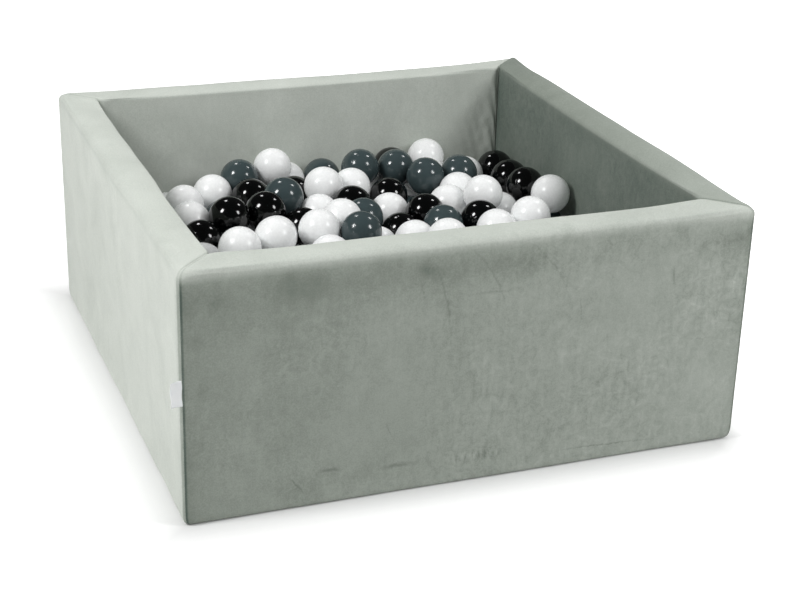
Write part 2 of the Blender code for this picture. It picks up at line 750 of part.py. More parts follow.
def nestled(lower, upper):
    """A layer raised into the hollows under the one above it, as both lie in a heap."""
    at_rest = lower[:, 2].copy()
    lower = push_apart(lower, upper, NESTLE_ROUNDS, RISE_SHARE * BALL_DIAMETER, NESTLE_SHIFT)
    lower = push_apart(lower, upper, EASE_ROUNDS, shift=NESTLE_SHIFT)
    meets_none = distances(lower, upper).min(axis=1) > BALL_DIAMETER + SUPPORT_REACH
    lower[meets_none, 2] = at_rest[meets_none]
    return fitted(push_apart(lower, upper, REFIT_ROUNDS), upper)


def carried(places, others):
    """Pairs of a ball and one of the others that it touches and that lies well under it."""
    touching = distances(places, others) < BALL_DIAMETER + SUPPORT_REACH
    beside = distances(places[:, :2], others[:, :2])
    lower = others[None, :, 2] < places[:, None, 2]
    return touching & lower & (beside < FIRM_SEAT_SHARE * BALL_DIAMETER)


def can_lift(places):
    """Which balls nothing lies over, while another lies well under them."""
    beside = distances(places[:, :2], places[:, :2])
    higher = places[None, :, 2] > places[:, None, 2]
    covered_over = ((beside < BALL_DIAMETER + BALL_GAP) & higher).any(axis=1)
    return ~covered_over & carried(places, places).any(axis=1)


def tree_at(shape, place, grown=1.0):
    """A search tree of the ball's facets at a place, the ball a little larger if asked."""
    points = [vert.co * grown + Vector(place) for vert in shape.vertices]
    return BVHTree.FromPolygons(points, [face.vertices[:] for face in shape.polygons])


def seat_on_facets(shape, places, lifted, bed):
    """Shifts each separate ball up or down until its facets all but touch those below."""
    graph = bpy.context.evaluated_depsgraph_get()
    graph.update()
    below = [((0, 0), tree_at(bed.evaluated_get(graph).to_mesh(), (0, 0, 0)))]
    grown = 1 + RUNNING_GAP / BALL_RADIUS
    step = np.array([0, 0, SHIFT_STEP])

    def touches(place, near):
        ball = tree_at(shape, place, grown)
        return any(ball.overlap(tree) for tree in near)

    for k in sorted(lifted, key=lambda ball: places[ball, 2]):
        near = [below[0][1]]
        near += [tree for at, tree in below[1:] if math.dist(at, places[k, :2]) < BALL_DIAMETER]
        shifts = 0
        while touches(places[k], near) and shifts < SHIFT_STEPS:
            places[k] += step
            shifts += 1
        while not touches(places[k] - step, near) and shifts < SHIFT_STEPS:
            places[k] -= step
            shifts += 1
        below.append((places[k, :2].copy(), tree_at(shape, places[k])))
    return places


def make_balls():
    places, colours = heap()
    lifted = [k for k in np.flatnonzero(can_lift(places)) if places[k, 2] > bed_top() + BALL_RADIUS]
    lifted = sorted(lifted, key=lambda ball: (ball >= len(SEEN_BALL_SHARES), -places[ball, 2]))
    lifted = [
        ball
        for colour, count in SEPARATE_BALLS.items()
        for ball in [k for k in lifted if colours[k] == colour][:count]
    ]
    left = np.delete(places, lifted, axis=0)
    carrying = carried(places[lifted], left).any(axis=0)
    bed = make_bed(left[carrying | ~covered(left, places)])
    shared = mesh_of("ball", ball_form())
    shared.shade_smooth()
    places = seat_on_facets(shared, places, lifted, bed)
    counts = {}
    for k in lifted:
        colour = colours[k]
        counts[colour] = counts.get(colour, 0) + 1
        name = f"ball_{colour}_{counts[colour]:02d}"
        add_mesh(name, shared.copy(), colour, places[k])
    print(len(places), "balls in the two upper layers,", len(lifted), "of them separate")


def bed_top():
    """The height at which the lower layers are closed off."""
    return FIRST_LAYER + (LAYERS_BELOW - 1) * layer_rise() - BED_TOP_SHARE * BALL_DIAMETER


def covered(places, others):
    """Which of these balls are hidden under a higher one."""
    beside = distances(places[:, :2], others[:, :2]) < HIDDEN_BALL_SHARE * BALL_DIAMETER
    return (beside & (others[None, :, 2] > places[:, None, 2])).any(axis=1)


def make_bed(places):
    """The lower layers as one solid, with the balls of the upper layers standing out of it."""
    low, high = room_for_balls()
    edge = np.array([BALL_RADIUS, BALL_RADIUS, 0.0])
    low[2] = BASE_TOP + BALL_GAP
    high[2] = bed_top()
    slab = block(low - edge, high + edge)
    bed = add_mesh("ball_bed", mesh_of("ball_bed", slab), "grey")
    stalk_foot = high[2] - STALK_DEPTH_SHARE * (high[2] - low[2])
    domes = bpy.data.collections.new("bed_domes")
    CUTTERS.children.link(domes)
    for k, place in enumerate(places):
        stalk = max(place[2] - BALL_RADIUS - stalk_foot, 0.0)
        form = ball_form(place, stalk)
        dome = bpy.data.objects.new(f"bed_dome_{k:03d}", mesh_of("bed_dome", form))
        dome.hide_render = True
        dome.display_type = "WIRE"
        domes.objects.link(dome)
    union = bed.modifiers.new("domes", "BOOLEAN")
    union.operation = "UNION"
    union.operand_type = "COLLECTION"
    union.collection = domes
    union.solver = "EXACT"
    return bed


# Blank tab in the corner seam

def make_tab():
    """A short woven tab, curling away from the front left corner seam."""
    corner = CORNER_ROUND * (1 - math.sqrt(0.5))
    root = (-PIT_WIDTH / 2 + corner - SEAM_GAP, -PIT_DEPTH / 2 + corner - SEAM_GAP)
    low = TAB_MIDDLE_HEIGHT - TAB_HEIGHT / 2
    form = bmesh.new()
    columns = []
    x, y = root
    for k in range(TAB_STEPS + 1):
        turn = math.pi + TAB_TURN + TAB_CURL * k / TAB_STEPS
        columns.append([form.verts.new((x, y, low + TAB_HEIGHT * up)) for up in (0, 1)])
        x += math.cos(turn) * TAB_WIDTH / TAB_STEPS
        y += math.sin(turn) * TAB_WIDTH / TAB_STEPS
    for near, far in zip(columns, columns[1:]):
        form.faces.new([near[0], far[0], far[1], near[1]])
    tab = add_mesh("label_tab", mesh_of("label_tab", form), "label")
    skin = tab.modifiers.new("cloth", "SOLIDIFY")
    skin.thickness = TAB_THICKNESS
    skin.offset = 0.0


make_walls()
make_base()
make_zips()
make_tab()
make_balls()
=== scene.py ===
# %% [markdown]
# # A square foam ball pit
#
# The real pit is four foam boards and a foam floor pad in velvet covers, and some four hundred
# plastic balls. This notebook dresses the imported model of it: the boards get the soft skins, nap
# and seams of sewn velvet, and the balls the gloss and mould line of blown polyethylene.
# Everything is in metres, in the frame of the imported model.

# %% Load the frame
import itertools
import math

import bmesh
import bpy
import numpy as np
from mathutils import Matrix, Vector


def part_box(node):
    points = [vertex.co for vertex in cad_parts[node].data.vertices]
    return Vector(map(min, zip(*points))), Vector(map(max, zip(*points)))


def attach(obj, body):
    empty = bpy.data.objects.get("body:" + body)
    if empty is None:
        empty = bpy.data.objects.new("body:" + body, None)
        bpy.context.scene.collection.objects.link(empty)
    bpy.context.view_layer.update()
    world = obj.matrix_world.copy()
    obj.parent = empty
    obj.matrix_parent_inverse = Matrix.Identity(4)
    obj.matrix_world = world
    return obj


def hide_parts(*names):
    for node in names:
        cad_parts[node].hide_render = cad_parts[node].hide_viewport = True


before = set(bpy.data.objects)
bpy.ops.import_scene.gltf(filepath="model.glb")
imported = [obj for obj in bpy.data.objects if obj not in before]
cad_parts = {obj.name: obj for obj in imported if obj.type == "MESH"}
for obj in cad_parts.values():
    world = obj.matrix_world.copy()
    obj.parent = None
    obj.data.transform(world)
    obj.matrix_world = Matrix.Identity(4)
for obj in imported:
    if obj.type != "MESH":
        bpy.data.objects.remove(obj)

scene = bpy.context.scene
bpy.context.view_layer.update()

# %% [markdown]
# ## Real sizes
#
# The boards are 50 mm foam in a cover, so a finished wall is 58 mm thick. The rim is rounded to
# about a thumb's width, and the covers are mitred where two walls meet.

# %% Name the sizes of the walls and the floor pad
PIT_SIDE = 0.900
WALL_HEIGHT = 0.400
WALL_THICKNESS = 0.058
RIM_ROUND = 0.013
INNER_RIM_ROUND = 0.007
HEM_ROUND = 0.005
CORNER_ROUND = 0.006
FULL_REACH = 0.10
FULL_FROM = 0.009
SIDE_CROWN = 0.006
RIM_CROWN = 0.003
RIM_BOW = 0.004
LEFT_INNER_BOW = 0.003
SEAM_GAP = 0.0003
ZIP_MARGIN = 0.085
BALL_RADIUS = 0.035
print("inside of the pit", PIT_SIDE - 2 * WALL_THICKNESS, "m square")

# %% [markdown]
# ## Camera
#
# The camera was fitted to the twelve corners of the pit that the photograph shows. Its place,
# its two angles and a slight roll are written as they were found, and the lens gives the
# photograph's own narrow field of view.

# %% Set up the camera
CAMERA_AT = Vector((-0.949, -2.575, 1.282))
CAMERA_AZIMUTH = math.radians(-21.16)
CAMERA_ELEVATION = math.radians(22.97)
CAMERA_ROLL = math.radians(1.55)
CAMERA_LENS_MM = 77.2


def camera_axes():
    """The camera's right, up and backward directions in the world."""
    azimuth, elevation = CAMERA_AZIMUTH, CAMERA_ELEVATION
    right = Vector((math.cos(azimuth), math.sin(azimuth), 0))
    flat = math.cos(elevation)
    back = Vector((math.sin(azimuth) * flat, -math.cos(azimuth) * flat, math.sin(elevation)))
    up = back.cross(right)
    tilt, lean = math.cos(CAMERA_ROLL), math.sin(CAMERA_ROLL)
    return right * tilt + up * lean, up * tilt - right * lean, back


right, up, back = camera_axes()
lens = bpy.data.cameras.new("camera")
lens.lens = CAMERA_LENS_MM
camera = bpy.data.objects.new("camera", lens)
turned = Matrix((right, up, back)).transposed().to_4x4()
camera.matrix_world = Matrix.Translation(CAMERA_AT) @ turned
scene.collection.objects.link(camera)
scene.camera = camera
scene.view_settings.view_transform = "Standard"
print("camera at", [round(value, 3) for value in CAMERA_AT])

# %% [markdown]
# ## Light
#
# The balls mirror the studio: two large soft boxes in front, left and right, and two smaller
# ones overhead. Their directions were worked out from where those highlights sit on a ball.
# The floor and the backdrop are plain white paper.

# %% Helpers for colours and shader nodes
def colour(hex_code):
    """A linear colour from an sRGB hex value."""
    parts = [int(hex_code[k : k + 2], 16) / 255 for k in (1, 3, 5)]
    linear = [p / 12.92 if p <= 0.04045 else ((p + 0.055) / 1.055) ** 2.4 for p in parts]
    return (*linear, 1.0)


def feed(shader, inputs):
    """Fills sockets of a node with values, or links them to an output or to a node's first one."""
    for socket, value in inputs.items():
        if isinstance(value, bpy.types.Node):
            value = value.outputs[0]
        if isinstance(value, bpy.types.NodeSocket):
            shader.id_data.links.new(value, shader.inputs[socket])
        else:
            shader.inputs[socket].default_value = value


def node(tree, kind, inputs={}, stops=(), **settings):
    """Adds a shader node, with its settings, its colour stops and what goes into its sockets."""
    made = tree.nodes.new("ShaderNode" + kind)
    for name, value in settings.items():
        setattr(made, name, value)
    for k, (at, hex_code) in enumerate(stops):
        stop = made.color_ramp.elements[k] if k < 2 else made.color_ramp.elements.new(at)
        stop.position = at
        stop.color = colour(hex_code)
    feed(made, inputs)
    return made


def new_material(name, finish):
    """A material with its tree and its Principled shader, filled with the values of a finish."""
    material = bpy.data.materials.new(name)
    material.use_nodes = True
    tree = material.node_tree
    feed(tree.nodes["Principled BSDF"], finish)
    return material, tree, tree.nodes["Principled BSDF"]


def camera_and_mirrored(tree):
    """Whether the camera sent a ray, and whether gloss or glass did."""
    path = node(tree, "LightPath").outputs
    mirrored = {0: path["Is Glossy Ray"], 1: path["Is Transmission Ray"]}
    return path["Is Camera Ray"], node(tree, "Math", mirrored, operation="MAXIMUM")


# %% Hang the soft boxes
LAMP_AIM = Vector((0, 0, 0.25))
SOFT_BOXES = (
    ("soft_box_left", (-0.712, -0.167, 0.680), 3.0, (0.70, 0.95), 44),
    ("soft_box_right", (0.548, -0.593, 0.594), 3.0, (0.70, 0.95), 24),
    ("overhead_left", (-0.125, 0.597, 0.792), 2.6, (0.36, 0.50), 6),
    ("overhead_right", (0.622, 0.220, 0.751), 2.6, (0.36, 0.50), 6),
)
for name, direction, distance, (wide, tall), watts in SOFT_BOXES:
    lamp = bpy.data.lights.new(name, "AREA")
    lamp.shape = "ELLIPSE"
    lamp.size = wide
    lamp.size_y = tall
    lamp.energy = watts
    holder = bpy.data.objects.new(name, lamp)
    holder.location = LAMP_AIM + Vector(direction).normalized() * distance
    holder.rotation_euler = Vector(direction).to_track_quat("Z", "Y").to_euler()
    scene.collection.objects.link(holder)
print(len(SOFT_BOXES), "lamps")

# %% [markdown]
# The room itself gives a low, even light. What the camera sees of it is white paper. Gloss sees
# that paper too, but only low down, where the backdrop stands: higher up is the dark ceiling of
# a studio, which is why the black balls look black.

# %% Light the room
ROOM_LIGHT = 0.48
DARK_CEILING = 0.05
BACKDROP_TOP = 0.22
world = bpy.data.worlds.new("studio")
scene.world = world
world.use_nodes = True
tree = world.node_tree
tree.nodes.clear()
from_camera, mirrored = camera_and_mirrored(tree)
skyward = node(tree, "SeparateXYZ", {0: node(tree, "TexCoord").outputs["Generated"]}).outputs["Z"]
low_down = node(tree, "MapRange", {
    "Value": skyward, "From Min": 0.0, "From Max": BACKDROP_TOP, "To Min": 1.0, "To Max": 0.0,
})
paper_low = node(tree, "Math", {0: mirrored, 1: low_down}, operation="MULTIPLY")
white = node(tree, "Math", {0: from_camera, 1: paper_low}, operation="MAXIMUM")
level = node(tree, "MapRange", {"Value": mirrored, "To Min": ROOM_LIGHT, "To Max": DARK_CEILING})
room = node(tree, "Background", {"Color": colour("#F4F5F4"), "Strength": level})
paper_white = node(tree, "Background", {"Color": colour("#FFFFFF"), "Strength": 1.0})
shown = node(tree, "MixShader", {0: white, 1: room, 2: paper_white})
node(tree, "OutputWorld", {"Surface": shown})
print("room light", ROOM_LIGHT)

# %% [markdown]
# The floor paper reflects the lamps as any white paper does, which keeps the pit's shadow. Rays
# from the camera, and those that gloss sends out, see a little of plain white added, so that
# open floor is as white as the photograph's background while the shadow under the pit stays.
# The added white is least at the pit and grows away from it. Right of the pit more is added:
# a painted light that lifts the pit's shadow there.

# %% Lay the white paper
FLOOR_HALF = 9.0
NEAR = 0.10
FAR = 2.6
GLOW_BY_PIT = 0.03
GLOW_NEAR = 0.50
GLOW_FAR = 0.50
# Painted light on the floor right of the pit, which lifts the pit's shadow there.
PAINTED_LIGHT_RIGHT = 0.40
floor_form = bmesh.new()
bmesh.ops.create_grid(floor_form, x_segments=2, y_segments=2, size=FLOOR_HALF)
floor_mesh = bpy.data.meshes.new("studio_floor")
floor_form.to_mesh(floor_mesh)
floor = bpy.data.objects.new("studio_floor", floor_mesh)
scene.collection.objects.link(floor)
white_paper, tree, paper = new_material("white_paper", {
    "Base Color": colour("#E6E6E6"), "Roughness": 0.9, "Specular IOR Level": 0.1,
})
from_camera, mirrored = camera_and_mirrored(tree)
shows = node(tree, "Math", {0: from_camera, 1: mirrored}, operation="MAXIMUM")
spot = node(tree, "SeparateXYZ", {0: node(tree, "TexCoord").outputs["Object"]}).outputs
off_x = node(tree, "Math", {0: spot["X"]}, operation="ABSOLUTE")
off_y = node(tree, "Math", {0: spot["Y"]}, operation="ABSOLUTE")
off = node(tree, "Math", {0: off_x, 1: off_y}, operation="MAXIMUM")
strength = 0.0
for value, start, end, least, most in (
    (off, 0.0, NEAR, GLOW_BY_PIT, GLOW_NEAR),
    (off, NEAR, FAR, 0.0, GLOW_FAR),
    # Right of the pit: painted light over the pit's shadow.
    (spot["X"], -NEAR / 4, NEAR / 2, 0.0, PAINTED_LIGHT_RIGHT),
):
    step = node(tree, "MapRange", {
        "Value": value, "From Min": PIT_SIDE / 2 + start, "From Max": PIT_SIDE / 2 + end,
        "To Min": least, "To Max": most,
    })
    strength = node(tree, "Math", {0: strength, 1: step}, operation="ADD")
glow = node(tree, "Emission", {"Color": colour("#FFFFFF"), "Strength": strength})
both = node(tree, "AddShader", {0: paper, 1: glow})
seen = node(tree, "MixShader", {0: shows, 1: paper, 2: both})
feed(tree.nodes["Material Output"], {"Surface": seen})
floor_mesh.materials.append(white_paper)
print("paper glow from", GLOW_BY_PIT, "to", GLOW_NEAR + GLOW_FAR)

# %% [markdown]
# ## Velvet
#
# Velour plush is a knitted polyester with a short upright pile. Seen along the pile it is pale,
# seen against it dark, so each panel has a shade of its own, and a hand that strokes it leaves
# clouds and streaks. The mesh carries two numbers for every point: how the pile lies, with
# painted light and shade added to it, and how much it has been brushed about. A colour ramp
# turns the lie, with its painted light and shade, into a shade. Sheen stands for the fibre tips
# that catch the light.

# %% Velvet colours and the scales of its pattern
PILE_SHADES = (
    (0.0, "#3A4540"), (0.25, "#5A665F"), (0.5, "#8A9188"), (0.75, "#B2B8B0"), (1.0, "#DADED7"),
)
PATCH_MM, PATCH_SHARE = 95, 0.16
CLOUD_MM, CLOUD_SHARE, CLOUD_MIDDLE = 15, 0.62, 0.54
STROKE_MM, STROKE_SHARE, STROKE_STRETCH = 8, 0.26, 0.22
TUFT_MM, TUFT_SHARE = 2.2, 0.17
velvet, tree, pile = new_material("polyester_velvet_brushed", {
    "Roughness": 0.92, "Specular IOR Level": 0.12,
    "Sheen Weight": 0.18, "Sheen Roughness": 0.45, "Sheen Tint": colour("#E6EAE4"),
})
place = node(tree, "TexCoord").outputs["Object"]
# This attribute holds the lie of the pile together with painted light and shade.
nap_and_painted_shade = node(tree, "Attribute", attribute_name="nap_and_painted_shade").outputs["Fac"]
brushed = node(tree, "Attribute", attribute_name="brushed").outputs["Fac"]
patch = node(tree, "TexNoise", {
    "Vector": place, "Scale": 1000 / PATCH_MM, "Detail": 3.0, "Distortion": 0.6,
})
cloud = node(tree, "TexNoise", {
    "Vector": place, "Scale": 1000 / CLOUD_MM, "Detail": 8.0, "Roughness": 0.62, "Distortion": 0.9,
})
upright = node(tree, "Mapping", {"Vector": place, "Scale": (1.0, 1.0, STROKE_STRETCH)})
stroke = node(tree, "TexNoise", {"Vector": upright, "Scale": 1000 / STROKE_MM, "Detail": 2.0})
tuft = node(tree, "TexNoise", {"Vector": place, "Scale": 1000 / TUFT_MM, "Detail": 2.0})
print("pile patterns from", TUFT_MM, "to", PATCH_MM, "mm")

# %% [markdown]
# Fingers that were drawn down the front left fine dark arcs, and a sleeve or a hand left a few
# dull patches and a row of short ticks near the floor. Each mark is a thin ring, cut short by a
# soft spot round its middle. Only the front wall has them, so they stop behind its outer face.

# %% Marks on the front wall
FINGER_MARKS = (
    ((-0.083, 0.388), (-0.053, 0.304), (-0.044, 0.235), 0.0032, 0.07),
    ((-0.024, 0.388), (0.022, 0.335), (0.043, 0.205), 0.0030, 0.06),
    ((0.063, 0.390), (0.115, 0.345), (0.153, 0.195), 0.0028, 0.05),
    ((-0.026, 0.310), (0.022, 0.311), (0.070, 0.308), 0.0036, 0.07),
    ((-0.252, 0.053), (-0.230, 0.054), (-0.207, 0.050), 0.0045, 0.14),
    ((-0.156, 0.040), (-0.120, 0.044), (-0.088, 0.041), 0.0060, 0.14),
    ((-0.293, 0.052), (-0.281, 0.036), (-0.266, 0.018), 0.0025, 0.12),
    ((-0.143, 0.122), (-0.138, 0.106), (-0.130, 0.091), 0.0025, 0.08),
    ((0.126, 0.026), (0.230, 0.024), (0.330, 0.018), 0.0020, 0.12),
    ((0.160, 0.300), (0.168, 0.260), (0.166, 0.225), 0.0020, 0.07),
    ((0.330, 0.330), (0.322, 0.300), (0.332, 0.270), 0.0030, 0.07),
    ((-0.100, 0.350), (-0.092, 0.330), (-0.090, 0.300), 0.0030, 0.06),
)
DULL_PATCHES = (
    (-0.088, 0.360, 0.020, 0.16), (-0.292, 0.374, 0.018, 0.10), (-0.250, 0.365, 0.024, 0.07),
    (0.140, 0.385, 0.022, 0.10), (0.030, 0.352, 0.022, 0.07), (0.330, 0.372, 0.022, 0.12),
    (0.370, 0.340, 0.016, 0.10), (0.245, 0.150, 0.012, 0.10), (0.205, 0.135, 0.008, 0.12),
    (0.300, 0.165, 0.010, 0.10), (-0.430, 0.290, 0.022, 0.10), (-0.425, 0.215, 0.020, 0.08),
    (0.400, 0.230, 0.014, 0.08), (0.120, 0.205, 0.020, 0.05), (-0.330, 0.250, 0.030, 0.04),
)
TICK_BAND = ((-0.064, 0.037), (0.002, 0.041), (0.067, 0.041), 0.016, 0.55)
TICK_MM = 4.5
TICK_STRETCH = 0.25
DULLNESS = 0.6
MARK_WOBBLE = 0.009
MARK_FADE = 1.7
FRONT_DEPTH = 0.020


def ring_through(first, second, third):
    """Middle and radius of the circle through three points."""
    (ax, az), (bx, bz), (cx, cz) = first, second, third
    double = 2 * (ax * (bz - cz) + bx * (cz - az) + cx * (az - bz))
    a, b, c = ax**2 + az**2, bx**2 + bz**2, cx**2 + cz**2
    x = (a * (bz - cz) + b * (cz - az) + c * (az - bz)) / double
    z = (a * (cx - bx) + b * (ax - cx) + c * (bx - ax)) / double
    return (x, 0.0, z), math.hypot(ax - x, az - z)


def soft_ring(middle, radius, half_width, strength):
    """A ring on the front face that fades over its half width. Without a radius it is a spot."""
    off = node(tree, "VectorMath", {0: face, 1: middle}, operation="DISTANCE").outputs["Value"]
    off = node(tree, "Math", {0: off, 1: radius}, operation="SUBTRACT")
    off = node(tree, "Math", {0: off}, operation="ABSOLUTE")
    fade = {"Value": off, "From Max": half_width, "To Min": strength, "To Max": 0.0}
    return node(tree, "MapRange", fade, interpolation_type="SMOOTHSTEP")


def finger_mark(first, second, third, half_width, strength):
    """A stroke along the arc through three points."""
    ring = soft_ring(*ring_through(first, second, third), half_width, strength)
    spot = soft_ring((second[0], 0.0, second[1]), 0.0, math.dist(first, third) / MARK_FADE, 1.0)
    return node(tree, "Math", {0: ring, 1: spot}, operation="MULTIPLY")


swirl = cloud.outputs["Color"]
wobble = node(tree, "VectorMath", {0: swirl, 1: (0.5, 0.5, 0.5)}, operation="SUBTRACT")
wobble = node(tree, "VectorMath", {0: wobble, "Scale": MARK_WOBBLE}, operation="SCALE")
face = node(tree, "VectorMath", {0: place, 1: wobble}, operation="ADD")
face = node(tree, "VectorMath", {0: face, 1: (1.0, 0.0, 1.0)}, operation="MULTIPLY")
narrow = node(tree, "Mapping", {"Vector": place, "Scale": (1.0, 1.0, TICK_STRETCH)})
tick = node(tree, "TexNoise", {"Vector": narrow, "Scale": 1000 / TICK_MM, "Detail": 1.0})
tick = node(tree, "Math", {0: tick, 1: 0.5}, operation="SUBTRACT")
marks = node(tree, "Math", {0: tick, 1: finger_mark(*TICK_BAND)}, operation="MULTIPLY")
darker = [finger_mark(*row) for row in FINGER_MARKS]
for x, z, reach, depth in DULL_PATCHES:
    darker.append(soft_ring((x, 0.0, z), 0.0, reach, DULLNESS * depth))
for mark in darker:
    marks = node(tree, "Math", {0: marks, 1: mark}, operation="SUBTRACT")
depth_in = node(tree, "SeparateXYZ", {0: place}).outputs["Y"]
front = node(tree, "Math", {0: depth_in, 1: FRONT_DEPTH - PIT_SIDE / 2}, operation="LESS_THAN")
print(len(FINGER_MARKS), "finger marks and", len(DULL_PATCHES), "dull patches")

# %% Put the velvet together
rubbed = -CLOUD_MIDDLE * CLOUD_SHARE - 0.5 * STROKE_SHARE
# What the ramp turns into a shade includes the painted light and shade from the mesh.
lie_and_painted_shade = -0.5 * (PATCH_SHARE + TUFT_SHARE)
for noise, share in ((cloud, CLOUD_SHARE), (stroke, STROKE_SHARE)):
    rubbed = node(tree, "Math", {0: noise, 1: share, 2: rubbed}, operation="MULTIPLY_ADD")
for value, share in (
    (patch, PATCH_SHARE), (tuft, TUFT_SHARE),
    (rubbed, brushed), (marks, front), (nap_and_painted_shade, 1.0),
):
    lie_and_painted_shade = node(tree, "Math", {0: value, 1: share, 2: lie_and_painted_shade}, operation="MULTIPLY_ADD")
shade = node(tree, "ValToRGB", {"Fac": lie_and_painted_shade}, stops=PILE_SHADES)
bump = node(tree, "Bump", {"Strength": 0.35, "Distance": 0.0006, "Height": tuft})
bump = node(tree, "Bump", {"Strength": 0.25, "Distance": 0.0015, "Height": cloud, "Normal": bump})
feed(pile, {"Base Color": shade, "Normal": bump})
print("velvet in", len(PILE_SHADES), "shades")

# %% [markdown]
# ## Wall covers
#
# A wall is a sleeve: its cross-section runs up the outside, over the rim and down the inside,
# and is drawn along the wall. Under the wall it turns up into a T-shaped slot, in which the zip
# hides. The ends are mitred, so every line of the section ends on the diagonal plane between
# two walls. Working on whole arrays keeps that quick.

# %% The cross-section of a wall
FACE_STEP = 0.0095
ROUND_STEPS = 7
HEM_STEPS = 4
END_SHARES = (0.0, 0.0009, 0.0020, 0.0034, 0.0056, 0.009, 0.014, 0.022, 0.032, 0.044)
SLOT_OUTLINE = (
    (0.0112, 0.0088), (0.0112, 0.0043), (0.0073, 0.0041), (0.0070, 0.0033), (0.0110, 0.0),
)


def arc(middle, radius, start, end, steps):
    """Points of an arc in the cross-section, as (depth, height)."""
    turns = np.linspace(start, end, steps + 1)
    return [(middle[0] + radius * math.cos(a), middle[1] + radius * math.sin(a)) for a in turns]


def steps_between(start, end, least=4):
    """Places strictly between two ends, about a face step apart."""
    return np.linspace(start, end, max(least, int(abs(end - start) / FACE_STEP)))[1:-1]


def padded_section(near, far, high, hem, rim, inner_rim, slot_at):
    """The outline of a pad, from the roof of its zip slot, out, up, over and back."""
    quarter, last = math.pi / 2, SLOT_OUTLINE[-1][0]
    climb, descent = steps_between(hem, high - rim), steps_between(high - inner_rim, hem)
    points = [(slot_at - off, height) for off, height in SLOT_OUTLINE]
    points += [(depth, 0.0) for depth in steps_between(slot_at - last, near + hem)]
    points += arc((near + hem, hem), hem, -quarter, -2 * quarter, HEM_STEPS)
    points += [(near, height) for height in climb]
    points += arc((near + rim, high - rim), rim, 2 * quarter, quarter, ROUND_STEPS)
    points += [(depth, high) for depth in steps_between(near + rim, far - inner_rim, 6)]
    points += arc((far - inner_rim, high - inner_rim), inner_rim, quarter, 0, ROUND_STEPS)
    points += [(far, height) for height in descent]
    points += arc((far - hem, hem), hem, 0, -quarter, HEM_STEPS)
    points += [(depth, 0.0) for depth in steps_between(far - hem, slot_at + last)]
    points += [(slot_at + off, height) for off, height in reversed(SLOT_OUTLINE)]
    return np.array(points)


def slot_points(outline):
    """Which points of an outline lie in its zip slot."""
    chosen = np.zeros(len(outline), bool)
    chosen[: len(SLOT_OUTLINE)] = chosen[-len(SLOT_OUTLINE) :] = True
    return chosen


def along_shares(length):
    """Places along a wall, closer together near its ends."""
    inner = np.linspace(END_SHARES[-1], 1 - END_SHARES[-1], int(length / FACE_STEP))[1:-1]
    return np.array([*END_SHARES, *inner, *(1 - share for share in reversed(END_SHARES))])


section = padded_section(
    0.0, WALL_THICKNESS, WALL_HEIGHT, HEM_ROUND, RIM_ROUND, INNER_RIM_ROUND, WALL_THICKNESS / 2,
)
in_slot = slot_points(section)
shares = along_shares(PIT_SIDE)
print("section of", len(section), "points at", len(shares), "stations")

# %% [markdown]
# The cloth is tight over the foam: each face stands a few millimetres proud in the middle, and
# dips where it is sewn. Smooth noise on a lattice gives the faint waves of a filled cover.
# Small gathers run off the seams. In the back corner on the right the cloth is bunched: folds
# lean along the wall there, and the rim ends in a raised tip.

# %% Noise, crown and seams
SEAM_DIP = 0.0014
SEAM_REACH = 0.0035
RIPPLE_HEIGHT = 0.0003
RIPPLE_LENGTH = 0.017
RIPPLE_START = 0.004
RIPPLE_REACH = 0.012
RIPPLE_SHIFT = 4
RIPPLE_SHIFT_LENGTH = 0.05
WAVE_HEIGHT = 0.0014
WAVE_LENGTH = 0.16
WAVE_FREE = 0.03
SMALL_WAVE = 0.5
SMALL_WAVE_LENGTH = 0.064
CROWN_FULLNESS = 0.7
END_FLATNESS = 7
LATTICE = 32
SHUT_SLOT = 0.04
SLOT_END = 0.010
FOLD_HEIGHT = 0.0030
FOLD_LENGTH = 0.020
FOLD_LEAN = 0.30
FOLD_REACH = 0.060
FOLD_BEND = 0.012
FOLD_BEND_LENGTH = 0.09
FOLD_SHARPNESS = 0.7
FOLD_START = (0.010, 0.045)
TIP_RISE = 0.006
TIP_REACH = 0.022
TIP_DEPTH = 0.05


def soft_noise(points, length, seed):
    """Smooth noise from -1 to 1 whose hills are about a length apart."""
    lattice = np.random.default_rng(seed).uniform(-1, 1, (LATTICE,) * 3)
    cell = np.asarray(points) / length
    low = np.floor(cell).astype(int)
    part = cell - low
    part = part * part * (3 - 2 * part)
    total = np.zeros(cell.shape[:-1])
    for corner in itertools.product((0, 1), repeat=3):
        weight = np.prod(np.where(corner, part, 1 - part), axis=-1)
        at = (low + corner) % LATTICE
        total += weight * lattice[at[..., 0], at[..., 1], at[..., 2]]
    return total


def smooth(value, low, high):
    """A soft step from 0 at low to 1 at high."""
    share = np.clip((value - low) / (high - low), 0, 1)
    return share * share * (3 - 2 * share)


def open_share(to_slot_end):
    """How open a zip slot is: nearly shut beyond its ends."""
    return SHUT_SLOT + (1 - SHUT_SLOT) * smooth(to_slot_end, 0, SLOT_END)


def rounded_off(radius, to_end):
    """How far a rounded edge falls back, so far from its end."""
    reach = np.clip(radius - to_end, 0, radius)
    return radius - np.sqrt(radius**2 - reach**2)


def section_normals(outline):
    """Outward directions of a closed outline, as (depth, height)."""
    ahead = np.roll(outline, -1, axis=0) - np.roll(outline, 1, axis=0)
    normal = np.column_stack([-ahead[:, 1], ahead[:, 0]])
    return normal / np.linalg.norm(normal, axis=1)[:, None]


